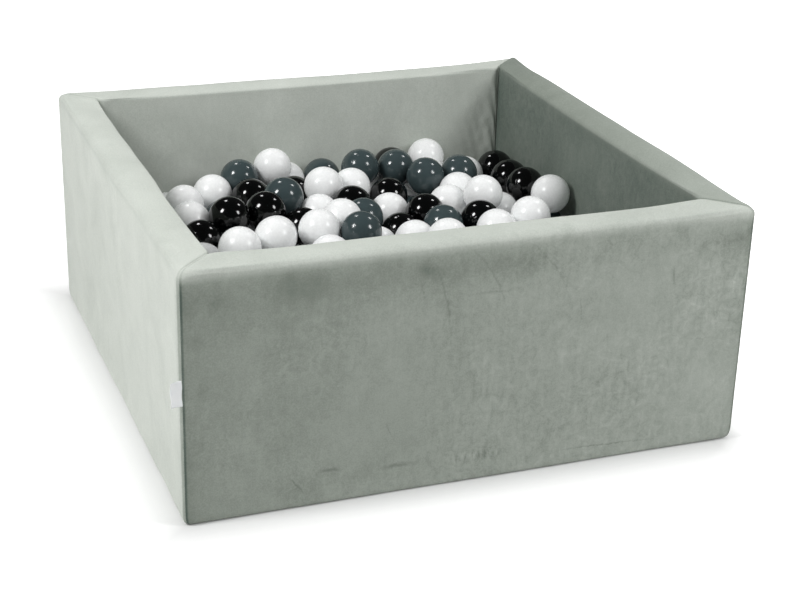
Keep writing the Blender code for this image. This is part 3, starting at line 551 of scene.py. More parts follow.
def wall_points(shares, seed, crown, wall):
    """Points of a wall along X, its outer face on y = 0, and how far each is from its seam."""
    depth, height = section[:, 0][None], section[:, 1][None]
    share, middle, bunched = shares[:, None], WALL_THICKNESS / 2, wall["bunched"]
    corner = np.maximum(CORNER_ROUND - depth, 0.0)
    near_ends = sum(
        full * np.exp(-((PIT_SIDE * off / FULL_REACH) ** 2))
        for full, off in zip(wall["full"], (share, 1 - share))
    )
    outwards = (1 - depth / WALL_THICKNESS) * smooth(height, 0, FULL_FROM) * ~in_slot
    depth = depth - near_ends * outwards
    end = PIT_SIDE / 2 - depth - corner * (1 - math.sqrt(0.5)) - SEAM_GAP * math.sqrt(0.5)
    across = end * (2 * share - 1)
    to_seam = end - abs(across)
    slot = open_share(PIT_SIDE / 2 - ZIP_MARGIN - abs(across))
    depth = np.where(in_slot, middle + (depth - middle) * slot, depth + 0 * across)
    height = np.where(in_slot, height * slot, height + 0 * across)
    drawn_in = rounded_off(corner, PIT_SIDE / 2 - abs(across) - depth)
    outward = section_normals(section) * ~in_slot[:, None]
    fade = 1 - abs(2 * share - 1) ** END_FLATNESS
    up = np.clip(height / WALL_HEIGHT, 0, 1)
    bow = np.where(depth < middle, wall["bow"], wall["inner_bow"])
    crowned = crown * SIDE_CROWN * np.sin(math.pi * up) ** CROWN_FULLNESS
    bulge = (crowned + bow * smooth(up, 0, 1)) * fade
    over_rim = np.sin(math.pi * np.clip(depth / WALL_THICKNESS, 0, 1))
    lift = (RIM_CROWN + wall["bow"] - RIM_BOW) * over_rim * fade
    points = np.zeros((len(shares), len(section), 3))
    points[..., 0] = across
    points[..., 1] = depth + drawn_in + bulge * outward[:, 0]
    points[..., 2] = height + lift * (height > WALL_HEIGHT / 2)
    waves = WAVE_HEIGHT * soft_noise(points, WAVE_LENGTH, seed)
    waves += SMALL_WAVE * WAVE_HEIGHT * soft_noise(points, SMALL_WAVE_LENGTH, seed + 1)
    run = np.cumsum(np.linalg.norm(np.diff(section, axis=0, prepend=section[:1]), axis=1))[None]
    uneven = RIPPLE_SHIFT * soft_noise(points, RIPPLE_SHIFT_LENGTH, seed + 2)
    ripple = RIPPLE_HEIGHT * np.sin(2 * math.pi * run / RIPPLE_LENGTH + uneven)
    ripple *= np.exp(-to_seam / RIPPLE_REACH) * smooth(to_seam, 0, RIPPLE_START)
    dip = SEAM_DIP * np.exp(-((to_seam / SEAM_REACH) ** 2))
    off_floor = np.clip(height / HEM_ROUND, 0, 1)
    move = (waves * (1 - np.exp(-to_seam / WAVE_FREE)) + ripple) * off_floor - dip
    if bunched:
        inner = smooth(depth, middle, WALL_THICKNESS - RIM_ROUND)
        near = np.exp(-((to_seam / FOLD_REACH) ** 2)) * (np.sign(across) == bunched)
        bend = FOLD_BEND * soft_noise(points, FOLD_BEND_LENGTH, seed + 3)
        slant = (to_seam - FOLD_LEAN * height + bend) / FOLD_LENGTH
        crease = 1 - 2 * abs(np.sin(math.pi * slant)) ** FOLD_SHARPNESS
        under_rim = smooth(WALL_HEIGHT - height, *FOLD_START)
        move += FOLD_HEIGHT * crease * near * smooth(to_seam, 0, CORNER_ROUND) * inner * under_rim
    points[..., 1] += move * outward[:, 0]
    points[..., 2] += move * np.maximum(outward[:, 1], -off_floor)
    return points, to_seam


def add_tip(points, to_seam, end, rise):
    """Raises the rim into a tip at one end."""
    near = np.exp(-((to_seam / TIP_REACH) ** 2)) * (np.sign(points[..., 0]) == end)
    points[..., 2] += rise * near * smooth(points[..., 2], WALL_HEIGHT - TIP_DEPTH, WALL_HEIGHT)


# %% [markdown]
# The walls differ in how their pile lies, and each face and rim also gets painted light and
# shade: a shade set for how it looks under the lamps. Outside on the left it leans towards the
# light and looks almost white. On the front it leans the other way. Over the rim it is always
# pale, and on the inside of the right wall it is darkest. These shades, with the painted shade
# of the seams and the painted shadow under the rim, go into the nap attribute, and how rubbed
# each face is goes into the brushed one.

# %% How the pile lies on each wall, and its painted light and shade
PLAIN = dict(outer=0.60, slope=0.0, rim_slope=0.0, inner_bow=RIM_BOW, bunched=0, tips=())
# The outer, rim and inner values and their slopes are partly the lie of the pile and partly painted
# light and shade of each face.
WALLS = {
    "front": dict(
        PLAIN, turn=0.0, outer=0.645, rim=0.84, inner=0.60, slope=0.07, brushed=(0.30, 0.42),
        bow=0.004, full=(0.004, 0.005),
    ),
    "right": dict(
        PLAIN, turn=math.pi / 2, rim=0.56, inner=0.365, rim_slope=-0.12, brushed=(0.42, 0.0),
        bow=0.017, full=(0.005, 0.003), tips=((1, 1.0),),
    ),
    "back": dict(
        PLAIN, turn=math.pi, rim=0.86, inner=0.87, brushed=(0.22, 0.0),
        bow=0.006, full=(0.003, 0.003), bunched=-1, tips=((-1, 0.5),),
    ),
    "left": dict(
        PLAIN, turn=-math.pi / 2, outer=0.94, rim=0.87, inner=0.55, brushed=(0.16, 0.0),
        bow=0.005, inner_bow=LEFT_INNER_BOW, full=(0.003, 0.004),
    ),
}
RIM_FADE = 0.026
INNER_RIM_FADE = 0.009
RIM_EDGE = 0.2
WELT_OFF = 0.0026
WELT_SIDE = 0.0013
# A painted shadow in a band under the rim, on the outer faces of all walls but the left.
SHADOW_DROP = 0.048
SHADOW_REACH = 0.026
SHADOW_DEPTH = 0.20
SHADOW_SLOPE = 0.12
SHADOWED_UP_TO = 0.8
# Painted shade that darkens the cloth towards each seam.
SEAM_PAINTED_SHADE = 0.10
SEAM_PAINTED_SHADE_REACH = 0.012
# Painted shade in the groove beside each seam, darker below the rim.
WELT_PAINTED_SHADE = 0.12
WELT_PAINTED_SHADE_BELOW = 0.16
SHADE_LENGTH = 0.07
RUBBED_LENGTH = 0.13
RUBBED_MIDDLE = 0.75
RUBBED_SPREAD = 0.5
RUBBED_ON_RIM = 0.3


def nap_and_painted_shade_of(points, to_seam, wall, seed):
    """Pile lie and painted light of each face, painted shade at seams, painted shadow under the
    rim.
    """
    depth = np.broadcast_to(section[:, 0], to_seam.shape)
    drop = np.broadcast_to(WALL_HEIGHT - section[:, 1], to_seam.shape)
    along = points[..., 0] / (PIT_SIDE / 2)
    outside = depth < WALL_THICKNESS / 2
    side = np.where(outside, wall["outer"] + wall["slope"] * along, wall["inner"])
    uneven = 0.5 + 0.5 * soft_noise(points, SHADE_LENGTH, seed + 4)
    # Painted shadow under the rim.
    band = np.exp(-(((drop - SHADOW_DROP) / SHADOW_REACH) ** 2))
    shadowed = outside & (wall["outer"] < SHADOWED_UP_TO)
    side = side - (SHADOW_DEPTH + SHADOW_SLOPE * along) * band * uneven * shadowed
    # Painted shade towards the seam.
    side = side - SEAM_PAINTED_SHADE * np.exp(-to_seam / SEAM_PAINTED_SHADE_REACH) * (0.5 + uneven)
    fade = np.where(outside, RIM_FADE, INNER_RIM_FADE)
    over = 1 - smooth(drop / fade, RIM_EDGE, 1.0)
    # Painted shade in the groove beside the seam.
    groove_painted_shade = np.exp(-(((to_seam - WELT_OFF) / WELT_SIDE) ** 2))
    groove_painted_shade *= WELT_PAINTED_SHADE + WELT_PAINTED_SHADE_BELOW * (1 - over)
    return side * (1 - over) + (wall["rim"] + wall["rim_slope"] * along) * over - groove_painted_shade


def brushed_of(points, wall, seed):
    """How much the pile has been rubbed about: more towards one end, and in patches."""
    least, more = wall["brushed"]
    along = 0.5 + points[..., 0] / PIT_SIDE
    patches = RUBBED_MIDDLE + RUBBED_SPREAD * soft_noise(points, RUBBED_LENGTH, seed + 5)
    below_rim = smooth(WALL_HEIGHT - points[..., 2], 0, RIM_FADE)
    return (least + more * along) * patches * (RUBBED_ON_RIM + (1 - RUBBED_ON_RIM) * below_rim)


def tube_faces(rings, size):
    """Faces of a closed tube with filled ends, its points counted ring by ring."""
    faces = []
    steps = [(k, (k + 1) % size) for k in range(size)]
    for ring in range(rings - 1):
        row, ahead = ring * size, (ring + 1) * size
        faces += [(row + k, row + other, ahead + other, ahead + k) for k, other in steps]
    faces.append(tuple(reversed(range(size))))
    faces.append(tuple((rings - 1) * size + k for k in range(size)))
    return faces


def tube_mesh(name, points):
    """A closed tube through rings of points, its ends filled."""
    mesh = bpy.data.meshes.new(name)
    mesh.from_pydata(points.reshape(-1, 3).tolist(), [], tube_faces(*points.shape[:2]))
    return mesh


def set_numbers(mesh, name, values):
    """Keeps one number for each point of a mesh."""
    numbers = mesh.attributes.new(name, "FLOAT", "POINT").data
    numbers.foreach_set("value", np.ascontiguousarray(values, np.float32).ravel())


def place_of_wall(turn):
    """Where a wall stands: turned, its outer face on the pit's side."""
    middle = Vector((math.sin(turn), -math.cos(turn), 0)) * PIT_SIDE / 2
    return Matrix.Translation(middle) @ Matrix.Rotation(turn, 4, "Z")


def add_piece(mesh, body, slot, *nodes):
    """Puts a mesh into the scene as a piece of the pit, for the nodes that it stands for."""
    mesh.shade_smooth()
    piece = bpy.data.objects.new(mesh.name, mesh)
    scene.collection.objects.link(piece)
    if nodes:
        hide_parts(*nodes)
    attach(piece, body)
    return piece


# %% [markdown]
# A cover is cut a little small and the foam swells it. The swelling is simulated: the seams, the
# hem and the zip slot are held, air pressure pushes the rest outwards, and the move of each
# point is limited to what the foam allows.

# %% Swell the covers
PRESSURE = 4.0
SWELL_FRAMES = 20
SWELL_LIMIT = 0.0045
HELD_NEAR_SEAM = 0.006
SWELL_QUALITY = 4
START_CROWN = 0.25
NO_MOVE = 1e-9


def places_of(mesh):
    """All points of a mesh as one array."""
    flat = np.empty(len(mesh.vertices) * 3)
    mesh.vertices.foreach_get("co", flat)
    return flat.reshape(-1, 3)


def swell(piece, free, limit):
    """Blows a cover up with Blender's cloth, and keeps its new shape within a limit."""
    mesh = piece.data
    before = places_of(mesh)
    held = piece.vertex_groups.new(name="held")
    for weight in np.unique(np.round(1 - free, 1)):
        chosen = np.flatnonzero(np.round(1 - free, 1) == weight)
        held.add(chosen.tolist(), float(weight), "REPLACE")
    cloth = piece.modifiers.new("swelling", "CLOTH")
    cloth.settings.use_pressure = True
    cloth.settings.uniform_pressure_force = PRESSURE
    cloth.settings.effector_weights.gravity = 0
    cloth.settings.vertex_group_mass = held.name
    cloth.settings.quality = SWELL_QUALITY
    for number in range(1, SWELL_FRAMES + 1):
        scene.frame_set(number)
    graph = bpy.context.evaluated_depsgraph_get()
    move = places_of(piece.evaluated_get(graph).data) - before
    size = np.linalg.norm(move, axis=1)[:, None]
    move *= limit * np.tanh(size / limit) / np.maximum(size, NO_MOVE)
    piece.modifiers.remove(cloth)
    piece.vertex_groups.remove(held)
    scene.frame_set(1)
    mesh.vertices.foreach_set("co", (before + move * free[:, None]).ravel())
    mesh.update()
    return size.max()


def subdivide(piece):
    """One subdivision, which keeps the sewn ends sharp."""
    mesh = piece.data
    ends = np.zeros(len(mesh.vertices), bool)
    for face in mesh.polygons:
        if len(face.vertices) > 4:
            ends[list(face.vertices)] = True
    pairs = np.empty(2 * len(mesh.edges), np.int32)
    mesh.edges.foreach_get("vertices", pairs)
    sharp = ends[pairs.reshape(-1, 2)].all(axis=1)
    creases = mesh.attributes.new("crease_edge", "FLOAT", "EDGE").data
    creases.foreach_set("value", sharp.astype(np.float32))
    finer = piece.modifiers.new("finer", "SUBSURF")
    finer.levels = finer.render_levels = 1
    graph = bpy.context.evaluated_depsgraph_get()
    piece.data = bpy.data.meshes.new_from_object(piece.evaluated_get(graph))
    piece.data.name = mesh.name
    piece.modifiers.remove(finer)


# %% Build the covers
walls = {}
crown = START_CROWN
for seed, (side, wall) in enumerate(WALLS.items()):
    points, to_seam = wall_points(shares, 10 * seed + 5, crown, wall)
    for end, part in wall["tips"]:
        add_tip(points, to_seam, end, part * TIP_RISE)
    mesh = tube_mesh("padded_wall_" + side, points)
    mesh.transform(place_of_wall(wall["turn"]))
    set_numbers(mesh, "nap_and_painted_shade", nap_and_painted_shade_of(points, to_seam, wall, 10 * seed))
    set_numbers(mesh, "brushed", brushed_of(points, wall, 10 * seed))
    mesh.materials.append(velvet)
    walls[side] = add_piece(mesh, "pit", "velvet", "wall_cover_" + side, "wall_foam_" + side)
    height = np.broadcast_to(section[:, 1], to_seam.shape)
    off_seam = smooth(to_seam, HELD_NEAR_SEAM, 4 * HELD_NEAR_SEAM)
    free = off_seam * smooth(height, HEM_ROUND / 2, 3 * HEM_ROUND)
    far = swell(walls[side], free.ravel(), SWELL_LIMIT)
    print(side, "cover would swell by", round(far * 1000), "mm unheld")
    subdivide(walls[side])
print(len(walls), "walls of", len(mesh.vertices), "points each")

# %% [markdown]
# ## Floor pad
#
# The floor pad is a slab of foam in a velvet cover of its own, with its zip underneath. It is
# drawn along the pit as a wall is, and its section shrinks at both ends like the side of a
# pillow. It lies a little clear of the walls, so that nothing pushes through anything.

# %% Build the floor pad
PAD_HALF = 0.386
PAD_THICKNESS = 0.050
PAD_ROUND = 0.010
PAD_CROWN = 0.003
PAD_WAVE = 0.3
PAD_ZIP_AT = 0.240
PAD_SLOT_HALF = 0.313
PAD_SWELL_LIMIT = 0.0015
PAD_NAP = 0.62
PAD_NAP_RANGE = 0.06
PAD_NAP_LENGTH = 0.2
PAD_BRUSHED = 0.3


def pad_points(outline):
    """Points of the floor pad along X, and how far each is from its nearer sewn end."""
    depth, height = outline[:, 0][None], outline[:, 1][None]
    across = PAD_HALF * (2 * along_shares(2 * PAD_HALF)[:, None] - 1) + 0 * depth
    to_end = PAD_HALF - abs(across)
    inset = rounded_off(PAD_ROUND, to_end)
    slot = open_share(PAD_SLOT_HALF - abs(across))
    by_zip = slot_points(outline)
    shut = PAD_ZIP_AT + (depth - PAD_ZIP_AT) * slot
    depth = np.where(by_zip, shut, depth * (1 - inset / PAD_HALF))
    height = inset + np.where(by_zip, height * slot, height) * (1 - 2 * inset / PAD_THICKNESS)
    top = smooth(height, PAD_THICKNESS / 2, PAD_THICKNESS)
    points = np.stack([across, depth, height], axis=-1)
    crowned = (1 - (across / PAD_HALF) ** 2) * (1 - (depth / PAD_HALF) ** 2)
    waves = PAD_WAVE * WAVE_HEIGHT * soft_noise(points, WAVE_LENGTH, 91)
    points[..., 2] += top * (PAD_CROWN * crowned + waves)
    return points, to_end


pad_rounds = (PAD_ROUND, PAD_ROUND, PAD_ROUND)
pad_section = padded_section(-PAD_HALF, PAD_HALF, PAD_THICKNESS, *pad_rounds, PAD_ZIP_AT)
points, to_end = pad_points(pad_section)
mesh = tube_mesh("padded_floor", points)
set_numbers(mesh, "nap_and_painted_shade", PAD_NAP + PAD_NAP_RANGE * soft_noise(points, PAD_NAP_LENGTH, 92))
set_numbers(mesh, "brushed", np.full(to_end.shape, PAD_BRUSHED))
mesh.materials.append(velvet)
pad = add_piece(mesh, "pit", "velvet", "base_cover", "base_foam")
lifted = smooth(points[..., 2], PAD_ROUND, PAD_THICKNESS - PAD_ROUND)
swell(pad, (lifted * smooth(to_end, 0, 4 * HELD_NEAR_SEAM)).ravel(), PAD_SWELL_LIMIT)
print("floor pad of", len(mesh.vertices), "points")

# %% [markdown]
# ## Zips
#
# Each cover has a nylon coil zip under it: a woven tape on each side and a row of coil turns on
# its edge. One turn of the coil is a small bar bent from a single thread. The slider and its
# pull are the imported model's own solids, die-cast and nickel-plated, and only get a finish.

# %% Woven tape and nylon coil
WAVES_PER_UNIT = 20
TAPE_THREAD_MM = 0.9
NYLON_IOR = 1.53
woven_tape, tree, tape_cloth = new_material("polyester_tape_woven", {"Roughness": 0.85})
place = node(tree, "TexCoord").outputs["Object"]
slanted = node(tree, "Mapping", {"Vector": place, "Rotation": (0.0, 0.0, math.radians(45))})
twill = node(tree, "TexWave", {
    "Vector": slanted, "Scale": 1000 / TAPE_THREAD_MM / WAVES_PER_UNIT,
    "Distortion": 1.0, "Detail": 1.0,
})
dusty = node(tree, "TexNoise", {"Vector": place, "Scale": 60.0, "Detail": 3.0})
mixed = node(tree, "Math", {0: twill.outputs["Fac"], 1: dusty}, operation="ADD")
mixed = node(tree, "Math", {0: mixed, 1: 0.5}, operation="MULTIPLY")
shade = node(tree, "ValToRGB", {"Fac": mixed}, stops=((0.0, "#59625C"), (1.0, "#8C958D")))
relief = node(tree, "Bump", {"Strength": 0.4, "Distance": 0.0003, "Height": twill.outputs["Fac"]})
feed(tape_cloth, {"Base Color": shade, "Normal": relief})

nylon_coil, tree, nylon = new_material("nylon_coil_drawn", {"Roughness": 0.38, "IOR": NYLON_IOR})
place = node(tree, "TexCoord").outputs["Object"]
wear = node(tree, "TexNoise", {"Vector": place, "Scale": 140.0, "Detail": 4.0})
shade = node(tree, "ValToRGB", {"Fac": wear}, stops=((0.0, "#69736C"), (1.0, "#87918A")))
feed(nylon, {"Base Color": shade})
print("tape and coil materials")

# %% Nickel for the sliders and pulls
nickel, tree, nickel_metal = new_material("zinc_nickel_plated", {"Metallic": 1.0})
place = node(tree, "TexCoord").outputs["Object"]
wear = node(tree, "TexNoise", {"Vector": place, "Scale": 420.0, "Detail": 5.0, "Roughness": 0.7})
rough = node(tree, "MapRange", {
    "Value": wear, "From Min": 0.3, "From Max": 0.7, "To Min": 0.20, "To Max": 0.36,
})
shade = node(tree, "ValToRGB", {"Fac": wear}, stops=((0.0, "#B4B2AB"), (1.0, "#D2D0CA")))
relief = node(tree, "Bump", {"Strength": 0.1, "Distance": 0.0001, "Height": wear})
feed(nickel_metal, {"Base Color": shade, "Roughness": rough, "Normal": relief})
metal_nodes = [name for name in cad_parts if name.startswith(("zip_slider_", "zip_pull_"))]
for name in metal_nodes:
    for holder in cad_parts[name].material_slots:
        holder.material = nickel
print(len(metal_nodes), "metal pieces")

# %% Sizes of a zip chain
TAPE_EDGES = (0.0014, 0.0104)
TAPE_LEVELS = (0.0055, 0.0063)
TAPE_SELVEDGE = 0.0006
COIL_EDGES = (0.0009, 0.0033)
COIL_LEVELS = (0.0045, 0.0063)
COIL_PITCH = 0.0022
COIL_THREAD = 0.0014
STOP_REACH = 0.0038
STOP_LENGTH = 0.0035
STOP_PROUD = 0.0002
STOP_EDGE = 0.0005
TURN_CORNERS = 6


def tape_rings(length, side):
    """A strip of tape with rounded selvedges, drawn along X."""
    near, far, low, high, edge = *TAPE_EDGES, *TAPE_LEVELS, TAPE_SELVEDGE
    middle = (low + high) / 2
    outline = [
        (near, middle), (near + edge / 2, low), (far - edge, low),
        (far, middle), (far - edge, high), (near + edge / 2, high),
    ]
    along = np.linspace(-length / 2, length / 2, int(length / FACE_STEP))
    return np.array([[(x, side * across, height) for across, height in outline] for x in along])


def coil_turn(x, side):
    """One turn of the coil: a rounded bar across the edge of the tape."""
    near, far, low, high = *COIL_EDGES, *COIL_LEVELS
    turns = [2 * math.pi * k / TURN_CORNERS for k in range(TURN_CORNERS)]
    half_long, half_high, middle = COIL_THREAD / 2, (high - low) / 2, (low + high) / 2
    rim = [(x + half_long * math.cos(a), middle + half_high * math.sin(a)) for a in turns]
    return np.array([[(at, side * across, height) for at, height in rim] for across in (near, far)])


def stop_rings(length):
    """The metal stop that joins the two rows at the end of the chain."""
    low, high, edge = COIL_LEVELS[0] - STOP_PROUD, COIL_LEVELS[1] + STOP_PROUD, STOP_EDGE
    right = [
        (STOP_REACH - edge, low), (STOP_REACH, low + edge),
        (STOP_REACH, high - edge), (STOP_REACH - edge, high),
    ]
    left = [(-across, height) for across, height in reversed(right)]
    outline = left[2:] + right + left[:2]
    ends = (edge - length / 2, edge - length / 2 + STOP_LENGTH)
    return np.array([[(x, across, height) for across, height in outline] for x in ends])


# %% Build the zip chains
def chain_mesh(name, length):
    """Both tapes, both rows of coil turns and the stop, as one mesh of three materials."""
    parts = [(tape_rings(length, side), 0) for side in (-1, 1)]
    first = -length / 2 + STOP_LENGTH + COIL_PITCH
    for k in range(int((length - STOP_LENGTH - 2 * COIL_PITCH) / COIL_PITCH)):
        for side in (-1, 1):
            parts.append((coil_turn(first + (k + (side > 0) / 2) * COIL_PITCH, side), 1))
    parts.append((stop_rings(length), 2))
    points, faces, kinds = [], [], []
    for rings, kind in parts:
        added = tube_faces(*rings.shape[:2])
        faces += [tuple(k + len(points) for k in face) for face in added]
        kinds += [kind] * len(added)
        points += rings.reshape(-1, 3).tolist()
    mesh = bpy.data.meshes.new(name)
    mesh.from_pydata(points, [], faces)
    for finish in (woven_tape, nylon_coil, nickel):
        mesh.materials.append(finish)
    mesh.polygons.foreach_set("material_index", kinds)
    form = bmesh.new()
    form.from_mesh(mesh)
    bmesh.ops.recalc_face_normals(form, faces=form.faces)
    form.to_mesh(mesh)
    form.free()
    return mesh


ZIP_PLACES = {
    side: place_of_wall(wall["turn"]) @ Matrix.Translation((0, WALL_THICKNESS / 2, 0))
    for side, wall in WALLS.items()
}
ZIP_PLACES["base"] = Matrix.Translation((0, PAD_ZIP_AT, 0))
for side, at in ZIP_PLACES.items():
    low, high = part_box("zip_chain_" + side)
    mesh = chain_mesh("coil_zip_" + side, max(high - low))
    mesh.transform(at)
    add_piece(mesh, "pit", "zip_tape", "zip_chain_" + side)
    mesh.shade_flat()
print(len(ZIP_PLACES), "zips, the last of", len(mesh.vertices), "points")

# %% [markdown]
# ## Tab
#
# A folded tab of woven satin is caught in the front left corner seam, and curls back along the
# left wall. It is bare. Satin floats its threads, so it is smoother and shinier across the tab
# than the velvet next to it.

# %% Build the tab in the corner seam
TAB_WIDTH = 0.022
TAB_HEIGHT = 0.040
TAB_MIDDLE_HEIGHT = 0.215
TAB_THICKNESS = 0.0008
TAB_TURN = math.radians(-8)
TAB_CURL = math.radians(26)
TAB_COLUMNS = 16
TAB_ROWS = 20
TAB_ROOT = (-0.4462, -0.4520)
TAB_EDGE_CURL = 0.0009
TAB_CURL_START = 0.7
TAB_RIPPLE = 0.00035
TAB_RIPPLES_UP = 9
TAB_RIPPLES_ALONG = 5
TAB_TAPER = 0.05
TAB_DROOP = 0.0012
RIB_MM = 1.1
satin_cloth, tree, satin = new_material("polyester_satin_woven", {
    "Roughness": 0.42, "Sheen Weight": 0.2,
})
place = node(tree, "TexCoord").outputs["Object"]
ribbed = node(tree, "TexWave", {
    "Vector": place, "Scale": 1000 / RIB_MM / WAVES_PER_UNIT, "Distortion": 0.4,
}, bands_direction="Z")
soil = node(tree, "TexNoise", {"Vector": place, "Scale": 90.0, "Detail": 3.0})
shade = node(tree, "ValToRGB", {"Fac": soil}, stops=((0.0, "#EEF1F3"), (1.0, "#FBFCFC")))
relief = node(tree, "Bump", {"Strength": 0.3, "Distance": 0.0002, "Height": ribbed.outputs["Fac"]})
feed(satin, {"Base Color": shade, "Normal": relief})

width = np.linspace(0, 1, TAB_COLUMNS + 1)
turn = math.pi + TAB_TURN + TAB_CURL * width
step = TAB_WIDTH / TAB_COLUMNS
line_x = TAB_ROOT[0] + np.concatenate([[0], np.cumsum(np.cos(turn[:-1]) * step)])
line_y = TAB_ROOT[1] + np.concatenate([[0], np.cumsum(np.sin(turn[:-1]) * step)])
rings = []
for share in np.linspace(0, 1, TAB_ROWS + 1):
    curl = TAB_EDGE_CURL * width**2 * math.sin(2 * math.pi * share + TAB_CURL_START)
    ripple = TAB_RIPPLE * np.sin(TAB_RIPPLES_UP * share + TAB_RIPPLES_ALONG * width)
    narrowed = 1 - TAB_TAPER * width**3
    height = TAB_MIDDLE_HEIGHT + TAB_HEIGHT * (share - 0.5) * narrowed - TAB_DROOP * width**2
    front_side, back_side = [np.column_stack([
        line_x - np.sin(turn) * (curl + ripple + thick),
        line_y + np.cos(turn) * (curl + ripple + thick),
        height,
    ]) for thick in (TAB_THICKNESS / 2, -TAB_THICKNESS / 2)]
    rings.append(np.vstack([front_side, back_side[::-1]]))
mesh = tube_mesh("satin_tab", np.array(rings))
mesh.materials.append(satin_cloth)
tab = add_piece(mesh, "pit", "label", "label_tab")
print("tab", [round(1000 * side, 1) for side in tab.dimensions], "mm")

# %% [markdown]
# ## Balls
#
# Pit balls are blown from low-density polyethylene: a thin shell with a glossy skin, a fine
# parting line round the middle where the mould halves met, and faint scuffs from use. The
# parting line lies differently on every ball, so each point of a ball's mesh carries its
# place in the ball's own turned frame, and the material draws the line from that.

# %% Ball plastic
POLYETHYLENE_IOR = 1.51
MILKY_DEPTH = 0.014
PARTING_SHARE = 0.014
SCUFFED = 1.9


def ball_material(name, shade, deep, roughness, milkiness):
    """Blown polyethylene of one colour, with its parting line and light scuffs."""
    material, tree, plastic = new_material(name, {
        "IOR": POLYETHYLENE_IOR, "Subsurface Weight": milkiness,
        "Subsurface Radius": (MILKY_DEPTH,) * 3, "Subsurface Scale": 1.0,
    })
    own = node(tree, "Attribute", attribute_name="ball_place").outputs["Vector"]
    height = node(tree, "SeparateXYZ", {0: own}).outputs["Z"]
    off = node(tree, "Math", {0: height}, operation="ABSOLUTE")
    fade = {"Value": off, "From Max": PARTING_SHARE, "To Min": 1.0, "To Max": 0.0}
    line = node(tree, "MapRange", fade)
    scuff = node(tree, "TexNoise", {"Vector": own, "Scale": 9.0, "Detail": 6.0, "Roughness": 0.7})
    rough = node(tree, "MapRange", {
        "Value": scuff, "From Min": 0.35, "From Max": 0.75,
        "To Min": roughness, "To Max": roughness * SCUFFED,
    })
    tone = node(tree, "TexNoise", {"Vector": own, "Scale": 1.6, "Detail": 2.0})
    mixed = node(tree, "ValToRGB", {"Fac": tone}, stops=((0.0, shade), (1.0, deep)))
    relief = node(tree, "Bump", {"Strength": 0.25, "Distance": 0.0004, "Height": line})
    dents = node(tree, "TexNoise", {"Vector": own, "Scale": 2.2, "Detail": 1.0})
    relief = node(tree, "Bump", {
        "Strength": 0.03, "Distance": 0.004, "Height": dents, "Normal": relief,
    })
    feed(plastic, {"Base Color": mixed, "Roughness": rough, "Normal": relief})
    return material


plastics = {
    "white": ball_material("polyethylene_white", "#F8FAFA", "#F4F6F6", 0.20, 0.6),
    "grey": ball_material("polyethylene_slate", "#414D4F", "#384446", 0.11, 0.0),
    "black": ball_material("polyethylene_black", "#030404", "#020303", 0.08, 0.0),
}
print(sorted(plastics))

# %% [markdown]
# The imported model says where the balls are. Each loose one is a node of its own. The rest stand
# out of the bed, and the highest point of each dome is the pole of a ball, five edges meeting
# there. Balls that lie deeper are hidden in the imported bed, so they are filled in as they
# really lie: square layers, pushed apart where they would touch. Three balls of the bed have
# sunk into dips that the photograph shows, so they lie lower than their domes.

# %% Find the balls
SUBDIVISIONS = {"loose": 5, "bed": 4, "deep": 3}
POLE_DROP = 0.003
JUST_SAME = 1e-5


def poles_of(mesh):
    """Points of a mesh that all their neighbours lie well below."""
    form = bmesh.new()
    form.from_mesh(mesh)
    bmesh.ops.remove_doubles(form, verts=form.verts, dist=JUST_SAME)
    found = []
    for vert in form.verts:
        around = [edge.other_vert(vert).co.z for edge in vert.link_edges]
        if max(around) < vert.co.z - POLE_DROP:
            found.append(vert.co.copy())
    form.free()
    return found


loose = {}
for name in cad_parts:
    if name.startswith("ball_") and name != "ball_bed":
        low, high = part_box(name)
        loose[name] = (low + high) / 2
bed = [pole - Vector((0, 0, BALL_RADIUS)) for pole in poles_of(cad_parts["ball_bed"].data)]
print(len(loose), "loose balls,", len(bed), "standing in the bed")

# %% Fill in the balls that lie deeper
BALL_SPACING = 0.0704
LAYER_RISE = 0.0497
FIRST_LAYER = 0.0884
LAYERS_BELOW = 3
NEXT_LAYER = FIRST_LAYER + 2.6 * LAYER_RISE
SAME_BALL = 0.5
SETTLING_ROUNDS = 60
SUNK_SHARES = ((0.84, 1.0), (-0.80, 0.80), (1.0, -0.01))
SUNK_BY = 0.030
CLOSEST = 0.0690
WALL_GIVE = 0.004
ROOM_HALF = PIT_SIDE / 2 - WALL_THICKNESS - WALL_GIVE - BALL_RADIUS


def square_rows(height, shifted):
    """Balls in square rows at one height, half a pitch in from the walls if shifted."""
    spans = int(2 * ROOM_HALF / BALL_SPACING)
    pitch = 2 * ROOM_HALF / spans
    line = -ROOM_HALF + pitch * (np.arange(spans + 1 - shifted) + shifted / 2)
    across, deep = np.meshgrid(line, line)
    return np.column_stack([across.ravel(), deep.ravel(), np.full(across.size, height)])


for across, back in SUNK_SHARES:
    spot = Vector((across * ROOM_HALF, back * ROOM_HALF))
    sunk = min(bed, key=lambda place: (place.xy - spot).length)
    sunk.z -= SUNK_BY
known = np.array([list(place) for place in [*loose.values(), *bed]])
rows = [square_rows(FIRST_LAYER + k * LAYER_RISE, k % 2) for k in range(LAYERS_BELOW)]
third = rows[-1]
gap = np.linalg.norm(third[:, None, :2] - known[None, :, :2], axis=2)
taken = (gap < SAME_BALL * BALL_SPACING) & (known[None, :, 2] < NEXT_LAYER)
third = third[~taken.any(axis=1)]
for _ in range(SETTLING_ROUNDS):
    around = np.vstack([third, known])
    apart = third[:, None] - around[None]
    distance = np.linalg.norm(apart, axis=2)
    distance[distance == 0] = 1
    short = np.maximum(BALL_SPACING - distance, 0)
    third = third + (apart * (short / distance)[..., None]).sum(axis=1) / 2
    third[:, :2] = np.clip(third[:, :2], -ROOM_HALF, ROOM_HALF)
nearest = np.linalg.norm(third[:, None] - known[None], axis=2).min(axis=1)
third = third[nearest > CLOSEST]
